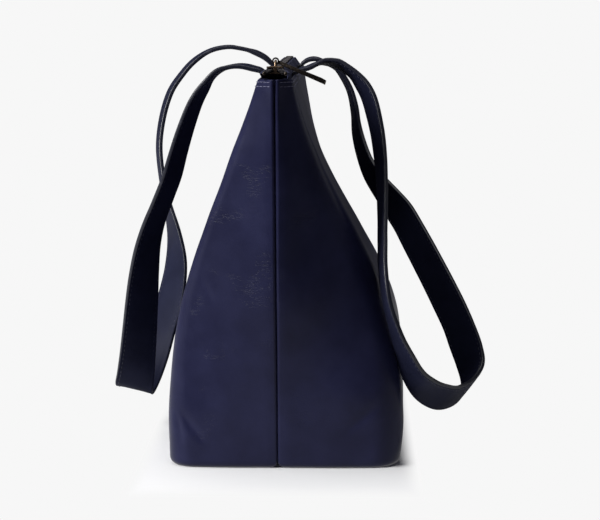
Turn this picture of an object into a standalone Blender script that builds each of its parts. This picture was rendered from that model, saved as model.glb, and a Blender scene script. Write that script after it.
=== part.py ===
"""Zip-top shoulder tote in soft leather, standing on its base.

Two body panels meet in a ridge at each side seam and roll under to a flat base. A lining,
facings and a base board sit inside. A metal zip closes the mouth: two rows of teeth on cloth
tapes, a slider with a bridge, and a bar pull on the bridge. Two flat shoulder straps come out
between panel and facing and hang over the front and the back.

X runs along the bag's width, Y through its depth with the back at +Y, Z up. The origin is the
middle of the base, on the ground. Lengths are metres.
"""
import bmesh
import bpy
from math import ceil, cos, degrees, pi, radians, sin, tan
from mathutils import Matrix, Vector

# Body
HEIGHT = 0.283                # top edge of the body panels
SEAM_HALF_WIDTH_BASE = 0.160  # side seam from the middle, at the ground
SEAM_HALF_WIDTH_TOP = 0.215   # the same at the top edge
MOUTH_HALF_DEPTH = 0.012      # body panel from the middle plane, at the top edge
BASE_HALF_DEPTH_FRONT = 0.0810
BASE_HALF_DEPTH_BACK = 0.0920
LEATHER = 0.0014              # body leather
CLEARANCE = 0.0003            # between pieces that touch
SEAM_GAP = 0.0003             # slit between the two panels at a side seam
SEAM_ROUND = 0.0008           # rounded edge of a panel at the side seam
BASE_ROLL = 0.0055            # radius that the panels roll under by
BASE_TURN = 0.005             # flat run of the panels under the base
BASE_LIP = 0.0042             # height of the turned-up edges of the base seam
BOARD = 0.0022                # stiffener in the base

# Inside
LINING = 0.0006
LINING_CORNER = 0.006
FACING = 0.0011
FACING_HEIGHT = 0.040
LINING_UNDER_FACING = 0.006   # how far the lining reaches up behind the facing
TAPE = 0.0005
TAPE_HEIGHT = 0.012           # part of the tape that is sewn in behind the facing
TAPE_LEVEL = 0.0016           # level part of the tape beside the teeth
TAPE_BEND = 0.063             # from the bag's middle, where the tape follows the face's bends

# Zip
CHAIN_RISE = 0.0060           # middle of the teeth above the top edge
CHAIN_HALF_WIDTH = 0.0030
CHAIN_END_INSET = 0.025       # closed end of the teeth from the side seam
TOOTH_PITCH = 0.0034
TOOTH_WIDTH = 0.00135         # along the chain
TOOTH_REACH = 0.0009          # how far a tooth passes the middle
TOOTH_TAPER = 0.00016         # each side of a tooth, at its tip
TOOTH_HALF_HEIGHT = 0.0013
CORD_WIDTH = 0.0011           # the corded edge that the teeth clamp
CHAIN_SPREAD = 0.22           # slope at which the rows part in front of the slider
LOOSE_TEETH = 7               # parted teeth between the slider and the top stops
LOOSE_DROP = 0.0042           # fall of the parted rows at their end
TOP_STOP_LENGTH = 0.0021
BOTTOM_STOP_LENGTH = 0.003

# Slider and pull
SLIDER_INSET = 0.027          # middle of the slider from the other side seam
SLIDER_LENGTH = 0.014
SLIDER_WALL = 0.0007
SLIDER_PLATE = 0.0010
SLIDER_TAIL_ROUND = 0.0010    # length over which the tail narrows
SLIDER_TAIL_SHARE = 0.75      # width left at the tail
SLIDER_NOSE_ROUND = 0.0015
SLIDER_NOSE_SHARE = 0.8
SPREAD_SHARE = 0.3            # of the slider's length behind its middle, where the rows part
TAPE_SLOT_BELOW = 0.0012      # slot for the tape, under and over the middle of the teeth
TAPE_SLOT_ABOVE = 0.0006
BRIDGE_RADIUS = 0.0009
BRIDGE_RISE = 0.0063          # bridge rod above the middle of the teeth
BRIDGE_HALF_SPAN = 0.0045
BRIDGE_BEND = 0.00144         # cut across each bend of the rod
PULL_LENGTH = 0.038
PULL_WIDTH = 0.0056
PULL_THICKNESS = 0.0024
PULL_NECK = 0.0022
PULL_NECK_LENGTH = 0.0010
PULL_SHOULDER = 0.0040        # length over which the neck widens
PULL_EYE_GAP = 0.0005         # between the bridge rod and the eye
PULL_EYE_WALL = 0.0011
PULL_HOLE_RADIUS = 0.0011
PULL_HANG = radians(23.5)       # fall of the pull below level, resting on the slider's shoulder

CHAIN_HALF_LENGTH = SEAM_HALF_WIDTH_TOP - CHAIN_END_INSET
SLIDER_X = SEAM_HALF_WIDTH_TOP - SLIDER_INSET

# Handles
STRAP_WIDTH = 0.030
STRAP_THICKNESS = 0.0032
STRAP_EDGE = 0.0010           # rounded strap edge
STRAP_SKIVE = 0.0011          # thinned end that is sewn in
STRAP_HALF_SPACING = 0.085    # strap middles from the bag's middle
STRAP_SEWN = 0.030            # length sewn in below the top edge

# The strap end over the mouth edge, as shares of the way out to the hinge, of the rise to it
# and of the strap's full thickness.
TAB_OVER = ((0.15, 0.55, 0.85), (0.55, 0.85, 1))
TAB_LIFT = 0.65               # middle of the strap end above the edge, in its thicknesses

# Shape of the body by height, as (share of the height, value). Depths are shares of the way
# from the mouth's half depth to the base's half depth.
FRONT_SWELL = ((0, 0.98), (0.15, 0.985), (0.33, 0.92), (0.46, 0.80), (0.61, 0.60),
               (0.765, 0.345), (0.92, 0.11), (1, 0))
BACK_NEAR_SWELL = ((0, 0.965), (0.12, 1.0), (0.33, 0.94), (0.46, 0.81), (0.61, 0.565),
                   (0.765, 0.285), (0.86, 0.150), (0.93, 0.070), (1, 0))
BACK_FAR_SWELL = ((0, 0.965), (0.12, 0.99), (0.33, 0.90), (0.46, 0.72), (0.60, 0.455),
                  (0.73, 0.215), (0.83, 0.105), (0.93, 0.035), (1, 0))
GUSSET_RETURN = ((0, 0.005), (0.2, 0.019), (0.42, 0.031), (0.62, 0.028), (0.78, 0.020), (1, 0.015))
CORNER_RADIUS = ((0, 0.024), (0.6, 0.030), (0.85, 0.018), (1, 0.008))
FACE_BULGE = ((0, 0), (0.38, 0.004), (0.68, 0), (1, 0))
FACE_BEND = 0.34              # share of the face's half width where its near and far parts begin
BODY_ROWS = (1, 0.96, 0.91, 0.85, 0.77, 0.69, 0.60, 0.51, 0.42, 0.32, 0.21, 0.11, 0.04)

# Strap routes from the root to the bottom of the loop, on each side: x as a share of the half
# spacing, outward from the mouth edge, up from the top edge, then the direction that the
# strap's width lies in as (x, outward, up).
FRONT_NEAR_ARCH = ((1.0, 0.0100, 0.0020, 1, -0.06, 0), (1.0, 0.0215, 0.0056, 1, -0.06, 0),
                   (1.0, 0.0325, 0.0032, 1, -0.12, 0), (0.99, 0.0405, -0.0036, 1, -0.18, 0))
FRONT_FAR_ARCH = ((-1.0, 0.0120, 0.0090, 1, -0.06, 0), (-1.0, 0.0220, 0.0145, 1, -0.06, 0),
                  (-1.0, 0.0350, 0.0170, 1, -0.08, 0), (-1.0, 0.0505, 0.0140, 1, -0.10, 0),
                  (-0.99, 0.0640, 0.0055, 1, -0.14, 0))
BACK_NEAR_ARCH = ((1.0, 0.0110, 0.0025, 1, 0.03, 0.10), (1.0, 0.0200, 0.0085, 1, 0.06, 0.15),
                  (1.01, 0.0300, 0.0080, 1, 0.12, 0.15), (1.035, 0.0405, 0.0015, 1, 0.20, 0.12))
BACK_FAR_ARCH = ((-1.0, 0.0078, 0.0050, 1, 0.03, 0), (-1.0, 0.0138, 0.0052, 1, 0.03, 0),
                 (-1.0, 0.0220, 0.0025, 1, 0.03, 0), (-0.99, 0.0305, -0.0020, 1, 0.08, 0.05))
FRONT_LOOP = ((0.97, 0.0472, -0.0135, 1, -0.24, 0), (0.94, 0.0528, -0.0240, 1, -0.28, 0),
              (0.89, 0.0595, -0.0415, 1, -0.33, 0), (0.83, 0.0655, -0.0600, 1, -0.37, 0),
              (0.77, 0.0712, -0.0790, 1, -0.42, 0), (0.69, 0.0785, -0.0970, 1, -0.45, 0),
              (0.61, 0.0864, -0.1160, 1, -0.52, 0), (0.54, 0.0918, -0.1350, 1, -0.66, 0),
              (0.46, 0.0952, -0.1560, 1, -0.90, 0), (0.39, 0.0976, -0.1780, 1, -1.15, -0.1),
              (0.33, 0.0998, -0.2000, 1, -1.40, -0.2), (0.26, 0.1021, -0.2200, 1, -1.70, -0.35),
              (0.20, 0.1044, -0.2378, 1, -1.90, -0.45), (0.13, 0.1062, -0.2476, 1, -2.00, -0.5),
              (0.04, 0.1053, -0.2506, 1, -2.00, -0.5), (-0.05, 0.1006, -0.2420, 1, -1.90, -0.45),
              (-0.14, 0.0945, -0.2270, 1, -1.60, -0.35), (-0.23, 0.0883, -0.2100, 1, -1.30, -0.2),
              (-0.32, 0.0826, -0.1930, 1, -1.15, 0), (-0.40, 0.0784, -0.1740, 1, -1.00, 0.2),
              (-0.47, 0.0766, -0.1560, 1, -0.75, 0.25), (-0.55, 0.0785, -0.1350, 1, -0.42, 0.2),
              (-0.65, 0.0842, -0.1110, 1, -0.16, 0.1), (-0.74, 0.0895, -0.0870, 1, -0.10, 0),
              (-0.83, 0.0920, -0.0630, 1, -0.08, 0), (-0.90, 0.0895, -0.0400, 1, -0.10, 0),
              (-0.95, 0.0835, -0.0200, 1, -0.12, 0), (-0.98, 0.0745, -0.0060, 1, -0.14, 0))
BACK_LOOP = ((1.06, 0.0475, -0.0065, 1, 0.27, 0.10), (1.10, 0.0527, -0.0150, 1, 0.30, 0.08),
             (1.15, 0.0566, -0.0260, 1, 0.30, 0.05), (1.22, 0.0603, -0.0430, 1, 0.26, 0),
             (1.32, 0.0625, -0.0610, 1, 0.21, 0), (1.44, 0.0635, -0.0800, 1, 0.16, 0),
             (1.58, 0.0637, -0.0990, 1, 0.12, 0), (1.72, 0.0635, -0.1180, 1, 0.11, 0),
             (1.85, 0.0638, -0.1370, 1, 0.12, 0), (1.93, 0.0664, -0.1585, 1, 0.14, 0.1),
             (1.92, 0.0726, -0.1795, 1, 0.15, 0.25), (1.86, 0.0794, -0.1970, 1, 0.16, 0.45),
             (1.76, 0.0878, -0.2148, 1, 0.17, 0.62), (1.62, 0.0988, -0.2284, 1, 0.17, 0.75),
             (1.44, 0.1108, -0.2362, 1, 0.17, 0.72), (1.24, 0.1224, -0.2366, 1, 0.24, 0.72),
             (1.07, 0.1306, -0.2318, 1, 0.50, 0.85), (0.96, 0.1330, -0.2240, 1, 0.90, 1.15),
             (0.87, 0.1308, -0.2128, 1, 1.20, 1.50), (0.77, 0.1262, -0.2000, 1, 1.28, 1.62),
             (0.64, 0.1208, -0.1865, 1, 1.15, 1.70), (0.48, 0.1130, -0.1710, 1, 1.10, 1.70),
             (0.30, 0.1050, -0.1560, 1, 1.00, 1.60), (0.12, 0.0975, -0.1425, 1, 0.92, 1.45),
             (-0.06, 0.0900, -0.1295, 1, 0.82, 1.30), (-0.22, 0.0832, -0.1180, 1, 0.70, 1.15),
             (-0.37, 0.0752, -0.1080, 1, 0.50, 1.00), (-0.52, 0.0655, -0.0960, 1, 0.27, 0.85),
             (-0.66, 0.0557, -0.0815, 1, 0.22, 0.65), (-0.78, 0.0495, -0.0655, 1, 0.20, 0.50),
             (-0.87, 0.0457, -0.0500, 1, 0.17, 0.38), (-0.92, 0.0440, -0.0340, 1, 0.11, 0.28),
             (-0.97, 0.0394, -0.0165, 1, 0.06, 0.15))


def table_value(share_table, at):
    """Value of a (position, value) table, on a smooth curve through its points."""
    last = len(share_table) - 1
    at = min(max(at, share_table[0][0]), share_table[last][0])
    i = max(k for k in range(last) if share_table[k][0] <= at)

    def slope(k):
        low = share_table[max(k - 1, 0)]
        high = share_table[min(k + 1, last)]
        return (high[1] - low[1]) / (high[0] - low[0])

    start, value = share_table[i]
    end, next_value = share_table[i + 1]
    span = end - start
    s = (at - start) / span
    return ((2 * s**3 - 3 * s**2 + 1) * value + (s**3 - 2 * s**2 + s) * span * slope(i)
            + (3 * s**2 - 2 * s**3) * next_value + (s**3 - s**2) * span * slope(i + 1))


def half_depth(side, end, z):
    """Half depth of the body at a height, on the back (side 1) or the front (side -1).

    The back is shallower towards its far end (end -1), where the leather has sunk in."""
    swell = FRONT_SWELL
    if side > 0:
        swell = BACK_NEAR_SWELL if end > 0 else BACK_FAR_SWELL
    base = BASE_HALF_DEPTH_BACK if side > 0 else BASE_HALF_DEPTH_FRONT
    return MOUTH_HALF_DEPTH + (base - MOUTH_HALF_DEPTH) * table_value(swell, z / HEIGHT)


def row_heights(low, high):
    """The heights of the body's rows between two heights, with both ends, top first."""
    between = [share * HEIGHT for share in BODY_ROWS if low < share * HEIGHT < high]
    return [high, *between, low]


def seam_half_width(z):
    """Side seam from the bag's middle at a height."""
    return SEAM_HALF_WIDTH_BASE + (SEAM_HALF_WIDTH_TOP - SEAM_HALF_WIDTH_BASE) * z / HEIGHT


def arc(corner, before, after, radius, steps):
    """Points of the round that replaces a corner, from the side of one point to the other."""
    back = (before - corner).normalized()
    on = (after - corner).normalized()
    half = back.angle(on) / 2
    start = corner + back * (radius / tan(half))
    centre = corner + (back + on).normalized() * (radius / sin(half))
    turn = pi - 2 * half
    way = 1 if back.x * on.y - back.y * on.x < 0 else -1
    arm = start - centre
    return [centre + Matrix.Rotation(way * turn * k / steps, 2) @ arm for k in range(steps + 1)]


def quarter_outline(side, end, z, inset, seam_half_gap, seam_round):
    """Plan of the body from a side seam to the middle part of its face, moved inward by inset.

    The seam edge is rounded by seam_round, or stays a plain cut where that is None."""
    share = z / HEIGHT
    width = seam_half_width(z)
    depth = half_depth(side, end, z)
    gusset = Vector((-table_value(GUSSET_RETURN, share), depth))
    inward = Vector((-gusset.y, gusset.x)).normalized()
    line = Vector((width, 0)) + inward * inset
    level = depth - inset
    tip = line + gusset * ((seam_half_gap - line.y) / gusset.y)
    corner = line + gusset * ((level - line.y) / gusset.y)
    points = [tip]
    if seam_round is not None:
        points = arc(tip, Vector((0, seam_half_gap)), corner, seam_round, 2)
    points += arc(corner, tip, Vector((0, level)), table_value(CORNER_RADIUS, share) - inset, 5)
    bulge = table_value(FACE_BULGE, share) * (1 - FACE_BEND**2)
    points.append(Vector((points[-1].x * FACE_BEND, level + bulge)))
    return [Vector((end * point.x, side * point.y)) for point in points]


def half_outline(side, z, inset, seam_half_gap, seam_round):
    """Plan of one half of the body from the near seam to the far one, moved inward by inset."""
    near = quarter_outline(side, 1, z, inset, seam_half_gap, seam_round)
    far = quarter_outline(side, -1, z, inset, seam_half_gap, seam_round)
    rise = table_value(FACE_BULGE, z / HEIGHT) * FACE_BEND**2
    middle = Vector((0, (near[-1].y + far[-1].y) / 2 + side * rise))
    return near + [middle] + far[::-1]


def plan_between_rows(side, z, inset, seam_half_gap, seam_round):
    """Plan of one body half at any height, straight between the body's rows."""
    heights = row_heights(BASE_ROLL, HEIGHT)
    z = min(max(z, BASE_ROLL), HEIGHT)
    k = next(k for k in range(len(heights) - 1) if heights[k + 1] <= z)
    upper = half_outline(side, heights[k], inset, seam_half_gap, seam_round)
    lower = half_outline(side, heights[k + 1], inset, seam_half_gap, seam_round)
    share = (z - heights[k + 1]) / (heights[k] - heights[k + 1])
    return [a.lerp(b, share) for a, b in zip(lower, upper)]


def face_depth(side, x, z):
    """Depth of the panel's outer face from the middle plane, at a place on it."""
    plan = plan_between_rows(side, z, 0, SEAM_GAP / 2, None)
    start, end = next((a, b) for a, b in zip(plan, plan[1:]) if b.x <= x <= a.x)
    return abs(start.y + (end.y - start.y) * (x - start.x) / (end.x - start.x))


def panel_row(side, z, inset):
    """One row of a body half: its plan at a height, as points in space."""
    edge = max(SEAM_ROUND - inset, 0.25 * SEAM_ROUND)
    plan = plan_between_rows(side, z, inset, SEAM_GAP / 2, edge)
    return [Vector((point.x, point.y, z)) for point in plan]


def ring(z, inset):
    """Closed plan of the whole body at a height, moved inward by inset."""
    front = plan_between_rows(-1, z, inset, LEATHER / 2, None)
    back = plan_between_rows(1, z, inset, LEATHER / 2, None)
    return [Vector((point.x, point.y, z)) for point in front + back[::-1]]


def new_material(name, colour, roughness, metallic=0.0):
    material = bpy.data.materials.new(name)
    material.use_nodes = True
    shader = material.node_tree.nodes["Principled BSDF"]
    shader.inputs["Base Color"].default_value = (*colour, 1)
    shader.inputs["Roughness"].default_value = roughness
    shader.inputs["Metallic"].default_value = metallic
    return material


def add_part(name, shape, material, origin=(0, 0, 0), smooth_below=35):
    """Turn a bmesh, built in the bag's own frame, into a named object with its origin."""
    bmesh.ops.remove_doubles(shape, verts=shape.verts, dist=1e-7)
    bmesh.ops.recalc_face_normals(shape, faces=shape.faces)
    bmesh.ops.translate(shape, verts=shape.verts, vec=-Vector(origin))
    mesh = bpy.data.meshes.new(name)
    shape.to_mesh(mesh)
    shape.free()
    mesh.shade_smooth()
    mesh.set_sharp_from_angle(angle=radians(smooth_below))
    part = bpy.data.objects.new(name, mesh)
    part.location = origin
    part.data.materials.append(material)
    bpy.context.collection.objects.link(part)
    return part


def thick_sheet(outer, inner):
    """Closed sheet between two equal grids of points, given as rows."""
    shape = bmesh.new()
    top = [[shape.verts.new(point) for point in row] for row in outer]
    under = [[shape.verts.new(point) for point in row] for row in inner]
    rows = len(outer)
    columns = len(outer[0])
    for r in range(rows - 1):
        for c in range(columns - 1):
            shape.faces.new((top[r][c], top[r][c + 1], top[r + 1][c + 1], top[r + 1][c]))
            shape.faces.new((under[r][c], under[r + 1][c], under[r + 1][c + 1], under[r][c + 1]))
    for r in range(rows - 1):
        for c in (0, columns - 1):
            shape.faces.new((top[r][c], top[r + 1][c], under[r + 1][c], under[r][c]))
    for c in range(columns - 1):
        for r in (0, rows - 1):
            shape.faces.new((top[r][c], top[r][c + 1], under[r][c + 1], under[r][c]))
    return shape


def match_folds(shape):
    """Split each four-sided face from its upper corner nearest the bag's middle.

    Layers that lie against each other then bend along the same lines."""
    for face in list(shape.faces):
        if len(face.verts) == 4:
            corners = list(face.verts)
            start = max(corners, key=lambda corner: (round(corner.co.z, 6), -abs(corner.co.x)))
            across = corners[(corners.index(start) + 2) % 4]
            bmesh.utils.face_split(face, start, across)
    return shape


def loft(sections):
    """Closed solid through closed sections, with a flat cap on the first and the last."""
    shape = bmesh.new()
    loops = [[shape.verts.new(point) for point in section] for section in sections]
    count = len(sections[0])
    for near, far in zip(loops, loops[1:]):
        for k in range(count):
            n = (k + 1) % count
            shape.faces.new((near[k], near[n], far[n], far[k]))
    shape.faces.new(loops[0][::-1])
    shape.faces.new(loops[-1])
    return shape


def prism(plan, low, high):
    """Closed solid over a flat outline, between two heights."""
    return loft([[Vector((x, y, z)) for x, y in plan] for z in (low, high)])


def combine(part, other, operation):
    """Join a second shape to a part, or cut it out, and leave the result as plain mesh."""
    modifier = part.modifiers.new(other.name, "BOOLEAN")
    modifier.operation = operation
    modifier.object = other
    bpy.context.view_layer.update()
    evaluated = part.evaluated_get(bpy.context.evaluated_depsgraph_get())
    mesh = bpy.data.meshes.new_from_object(evaluated)
    part.modifiers.clear()
    old = part.data
    part.data = mesh
    bpy.data.meshes.remove(old)
    bpy.data.objects.remove(other)


# Body

def make_panel(name, side, material):
    """A body panel: upright wall, roll under to the base, and the turned-up seam edge."""
    outer = [panel_row(side, share * HEIGHT, 0) for share in BODY_ROWS]
    inner = [panel_row(side, share * HEIGHT, LEATHER) for share in BODY_ROWS]
    for turn in (0, 30, 60, 90):
        for rows, wall in ((outer, 0), (inner, LEATHER)):
            radius = BASE_ROLL - wall
            z = BASE_ROLL - radius * sin(radians(turn))
            rows.append(panel_row(side, z, BASE_ROLL - radius * cos(radians(turn))))
    edge = BASE_ROLL + BASE_TURN
    outer.append(panel_row(side, 0, edge))
    inner.append(panel_row(side, LEATHER, edge - LEATHER))
    outer.append(panel_row(side, BASE_LIP, edge))
    inner.append(panel_row(side, BASE_LIP, edge - LEATHER))
    return add_part(name, match_folds(thick_sheet(outer, inner)), material)


def make_base(leather, board_material):
    outside = BASE_ROLL + BASE_TURN + CLEARANCE
    inside = outside + LEATHER
    pan = loft([ring(0, outside), ring(BASE_LIP, outside), ring(BASE_LIP, inside), ring(LEATHER, inside)])
    add_part("base_panel", pan, leather)
    low = LEATHER + CLEARANCE
    edge = inside + CLEARANCE
    add_part("base_board", loft([ring(low, edge), ring(low + BOARD, edge)]), board_material)


def make_lining(material):
    """A thin cup inside the panels, from over the base seam to behind the facings."""
    gap = LEATHER + 2 * CLEARANCE
    floor = max(BASE_LIP, LEATHER + CLEARANCE + BOARD) + CLEARANCE
    top = HEIGHT - FACING_HEIGHT + LINING_UNDER_FACING
    heights = row_heights(floor + LINING_CORNER, top)[:-1]
    outer = []
    inner = []
    for rows, wall in ((outer, 0), (inner, LINING)):
        rows += [ring(z, gap + wall) for z in heights]
        for turn in (0, 45, 90):
            radius = LINING_CORNER - wall
            z = floor + LINING_CORNER - radius * sin(radians(turn))
            rows.append(ring(z, gap + LINING_CORNER - radius * cos(radians(turn))))
    return add_part("lining", match_folds(loft(outer[::-1] + inner)), material)


# Inset of each layer between the panel and the inside of the mouth, from the outer surface.
TAB_INSET = LEATHER + CLEARANCE
TAPE_INSET = TAB_INSET + STRAP_SKIVE + CLEARANCE
FACING_INSET = TAPE_INSET + TAPE + CLEARANCE


def make_facing(name, side, material):
    heights = row_heights(HEIGHT - FACING_HEIGHT, HEIGHT - CLEARANCE)
    outer = [panel_row(side, z, FACING_INSET) for z in heights]
    inner = [panel_row(side, z, FACING_INSET + FACING) for z in heights]
    return add_part(name, match_folds(thick_sheet(outer, inner)), material)


# Zip

CHAIN_Z = HEIGHT + CHAIN_RISE
SPREAD_START = SLIDER_X - SLIDER_LENGTH * SPREAD_SHARE
CORD_OUTSIDE = CHAIN_HALF_WIDTH
CORD_INSIDE = CHAIN_HALF_WIDTH - CORD_WIDTH


def spread(x):
    """How far a row of teeth has moved outward from its closed place."""
    return max(0, x - SPREAD_START) * CHAIN_SPREAD


def first_loose():
    """Where the slider's nose ends and the parted teeth begin to drop."""
    return SLIDER_X + SLIDER_LENGTH / 2


def drop(x):
    """Fall of the parted rows beyond the slider."""
    run = LOOSE_TEETH * TOOTH_PITCH
    return LOOSE_DROP * min(1, max(0, x - first_loose()) / run) ** 1.5


def chain_end():
    return first_loose() + (LOOSE_TEETH - 2) * TOOTH_PITCH


def tooth_starts(side):
    """Where each tooth of a row begins. The two rows are half a pitch apart."""
    start = -CHAIN_HALF_LENGTH + (0 if side > 0 else TOOTH_PITCH / 2)
    return [start + k * TOOTH_PITCH for k in range(int((chain_end() - start) / TOOTH_PITCH))]


def make_teeth(name, side, material):
    """One row of teeth with the cord that they clamp, as a single comb."""
    shape = bmesh.new()

    def column(x, across):
        y = side * (across + spread(x))
        middle = CHAIN_Z - drop(x)
        return [shape.verts.new((x, y, middle + up * TOOTH_HALF_HEIGHT)) for up in (1, -1)]

    starts = tooth_starts(side)
    count = len(starts)
    closed = [x for x in starts if x + TOOTH_PITCH < SPREAD_START]
    walls = []
    roots = []
    for x in starts:
        far = x + TOOTH_WIDTH
        root = [column(x, CORD_INSIDE), column(far, CORD_INSIDE)]
        tips = [column(x + TOOTH_TAPER, -TOOTH_REACH), column(far - TOOTH_TAPER, -TOOTH_REACH)]
        roots.append(root)
        walls += [root[0], tips[0], tips[1], root[1]]
        if x not in closed:
            for level in (0, 1):
                shape.faces.new([root[0][level], tips[0][level], tips[1][level], root[1][level]])
    outside = [column(starts[0], CORD_OUTSIDE)]
    bend = len(closed)
    for k in range(bend, count):
        outside += [column(starts[k], CORD_OUTSIDE), column(starts[k] + TOOTH_WIDTH, CORD_OUTSIDE)]
    for level in (0, 1):
        flat = [columns[level] for columns in walls[:4 * bend]] + [roots[bend][0][level]]
        shape.faces.new(flat + [outside[1][level], outside[0][level]])
        for k in range(bend, count):
            first = 1 + 2 * (k - bend)
            shape.faces.new([roots[k][0][level], roots[k][1][level],
                             outside[first + 1][level], outside[first][level]])
            if k + 1 < count:
                shape.faces.new([roots[k][1][level], roots[k + 1][0][level],
                                 outside[first + 2][level], outside[first + 1][level]])
    around = walls + outside[::-1]
    for near, far in zip(around, around[1:] + around[:1]):
        shape.faces.new([near[0], near[1], far[1], far[0]])
    return add_part(name, shape, material)


def make_tape(name, side, material):
    """Cloth tape from the cord over the mouth edge and down behind the facing."""
    ends = (-CHAIN_HALF_LENGTH - BOTTOM_STOP_LENGTH, -TAPE_BEND, 0, TAPE_BEND, SPREAD_START,
            first_loose() - TOOTH_PITCH)
    outer = []
    inner = []
    for rows, wall in ((outer, 0), (inner, TAPE)):
        for x in ends:
            edge = CORD_OUTSIDE + spread(x) + CLEARANCE
            lip = MOUTH_HALF_DEPTH - TAPE_INSET - wall
            row = [Vector((x, side * edge, CHAIN_Z + TAPE / 2 - wall)),
                   Vector((x, side * (edge + TAPE_LEVEL), CHAIN_Z + TAPE / 2 - wall)),
                   Vector((x, side * lip, HEIGHT + CLEARANCE + TAPE - wall))]
            for z in row_heights(HEIGHT - TAPE_HEIGHT, HEIGHT):
                row.append(Vector((x, side * (face_depth(side, x, z) - TAPE_INSET - wall), z)))
            rows.append(row)
    return add_part(name, thick_sheet(outer, inner), material)


def make_stops(material):
    """A small block at the open end of each row, and one across both rows at the closed end."""
    for name, side in (("zip_top_stop_front", -1), ("zip_top_stop_back", 1)):
        x = tooth_starts(side)[-1] + TOOTH_WIDTH + CLEARANCE
        far = x + TOP_STOP_LENGTH
        low = side * (spread(x) + CORD_INSIDE - TOOTH_REACH)
        high = side * (spread(x) + CORD_OUTSIDE)
        plan = [(x, low), (far, low), (far, high), (x, high)]
        middle = CHAIN_Z - drop(x)
        add_part(name, prism(plan, middle - TOOTH_HALF_HEIGHT, middle + TOOTH_HALF_HEIGHT), material)
    x = -CHAIN_HALF_LENGTH - CLEARANCE
    far = x - BOTTOM_STOP_LENGTH
    plan = [(far, -CORD_OUTSIDE), (x, -CORD_OUTSIDE), (x, CORD_OUTSIDE), (far, CORD_OUTSIDE)]
    block = prism(plan, CHAIN_Z - TOOTH_HALF_HEIGHT, CHAIN_Z + TOOTH_HALF_HEIGHT)
    add_part("zip_bottom_stop", block, material)


def make_slider(material):
    """Two plates joined by a wedge in the nose, walls with a slot for the tape, and a bridge."""
    tail = SLIDER_X - SLIDER_LENGTH / 2
    nose = SLIDER_X + SLIDER_LENGTH / 2
    ahead = nose + SLIDER_LENGTH
    behind = tail - SLIDER_LENGTH
    channel = CORD_OUTSIDE + CLEARANCE
    outside = channel + SLIDER_WALL
    low = CHAIN_Z - TOOTH_HALF_HEIGHT - CLEARANCE
    high = CHAIN_Z + TOOTH_HALF_HEIGHT + CLEARANCE
    ends = ((tail, SLIDER_TAIL_SHARE), (tail + SLIDER_TAIL_ROUND, 1), (SPREAD_START, 1),
            (nose - SLIDER_NOSE_ROUND, 1), (nose, SLIDER_NOSE_SHARE))
    rim = [(x, (outside + spread(x)) * part) for x, part in ends]
    plan = rim + [(x, -y) for x, y in rim[::-1]]
    body = add_part("zip_slider", prism(plan, low - SLIDER_PLATE, high + SLIDER_PLATE), material)

    cut = [(behind, channel), (SPREAD_START, channel), (ahead, channel + spread(ahead))]
    wedge_start = SPREAD_START + (TOOTH_REACH + 2 * CLEARANCE) / CHAIN_SPREAD
    cut += [(x, spread(x) - TOOTH_REACH - CLEARANCE) for x in (ahead, wedge_start)]
    plan = cut + [(x, -y) for x, y in cut[::-1]]
    combine(body, add_part("channel", prism(plan, low, high), material), "DIFFERENCE")
    for side in (-1, 1):
        inside = side * (channel - CLEARANCE)
        far = side * 3 * outside
        slot = [(behind, inside), (SPREAD_START, inside), (ahead, inside + side * spread(ahead)),
                (ahead, far), (behind, far)]
        slot_shape = prism(slot, CHAIN_Z - TAPE_SLOT_BELOW, CHAIN_Z + TAPE_SLOT_ABOVE)
        combine(body, add_part("slot", slot_shape, material), "DIFFERENCE")
    combine(body, make_bridge(high + SLIDER_PLATE / 2, material), "UNION")
    return body


def make_bridge(foot, material):
    """Round wire that rises from the slider, runs level over it and goes down again."""
    rod = CHAIN_Z + BRIDGE_RISE
    half = ((BRIDGE_HALF_SPAN, foot), (BRIDGE_HALF_SPAN, rod - BRIDGE_BEND),
            (BRIDGE_HALF_SPAN - BRIDGE_BEND, rod))
    arch = [Vector((SLIDER_X - x, 0, z)) for x, z in half]
    arch += [Vector((SLIDER_X + x, 0, z)) for x, z in half[::-1]]
    sections = []
    for k, point in enumerate(arch):
        way = (arch[min(k + 1, len(arch) - 1)] - arch[max(k - 1, 0)]).normalized()
        across = Vector((0, BRIDGE_RADIUS, 0))
        up = way.cross(across)
        sections.append([point + across * cos(pi * i / 4) + up * sin(pi * i / 4) for i in range(8)])
    return add_part("bridge", loft(sections), material)


def make_pull(material):
    """Bar pull with an eye round the bridge rod, hanging to the back."""
    hole = BRIDGE_RADIUS + PULL_EYE_GAP
    eye = hole + PULL_EYE_WALL
    neck = PULL_NECK / 2
    wide = PULL_WIDTH / 2
    tip = PULL_LENGTH - wide
    narrow = eye + PULL_NECK_LENGTH
    half = [(neck, (hole + eye) / 2), (neck, narrow), (wide, narrow + PULL_SHOULDER), (wide, tip)]
    half += [(wide * cos(radians(a)), tip + wide * sin(radians(a))) for a in (30, 60, 90)]
    plan = half + [(-x, y) for x, y in half[-2::-1]]
    pull = add_part("zip_pull", prism(plan, -PULL_THICKNESS / 2, PULL_THICKNESS / 2), material)
    combine(pull, rod_along_x("eye", eye, neck, material), "UNION")
    combine(pull, rod_along_x("eye_bore", hole, 2 * neck, material), "DIFFERENCE")
    circle = [(PULL_HOLE_RADIUS * cos(pi * k / 6), tip + PULL_HOLE_RADIUS * sin(pi * k / 6))
              for k in range(12)]
    combine(pull, add_part("tip_hole", prism(circle, -PULL_WIDTH, PULL_WIDTH), material), "DIFFERENCE")
    pivot = Vector((SLIDER_X, 0, CHAIN_Z + BRIDGE_RISE))
    pull.matrix_world = Matrix.Translation(pivot) @ Matrix.Rotation(-PULL_HANG, 4, "X")
    return pull


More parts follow.
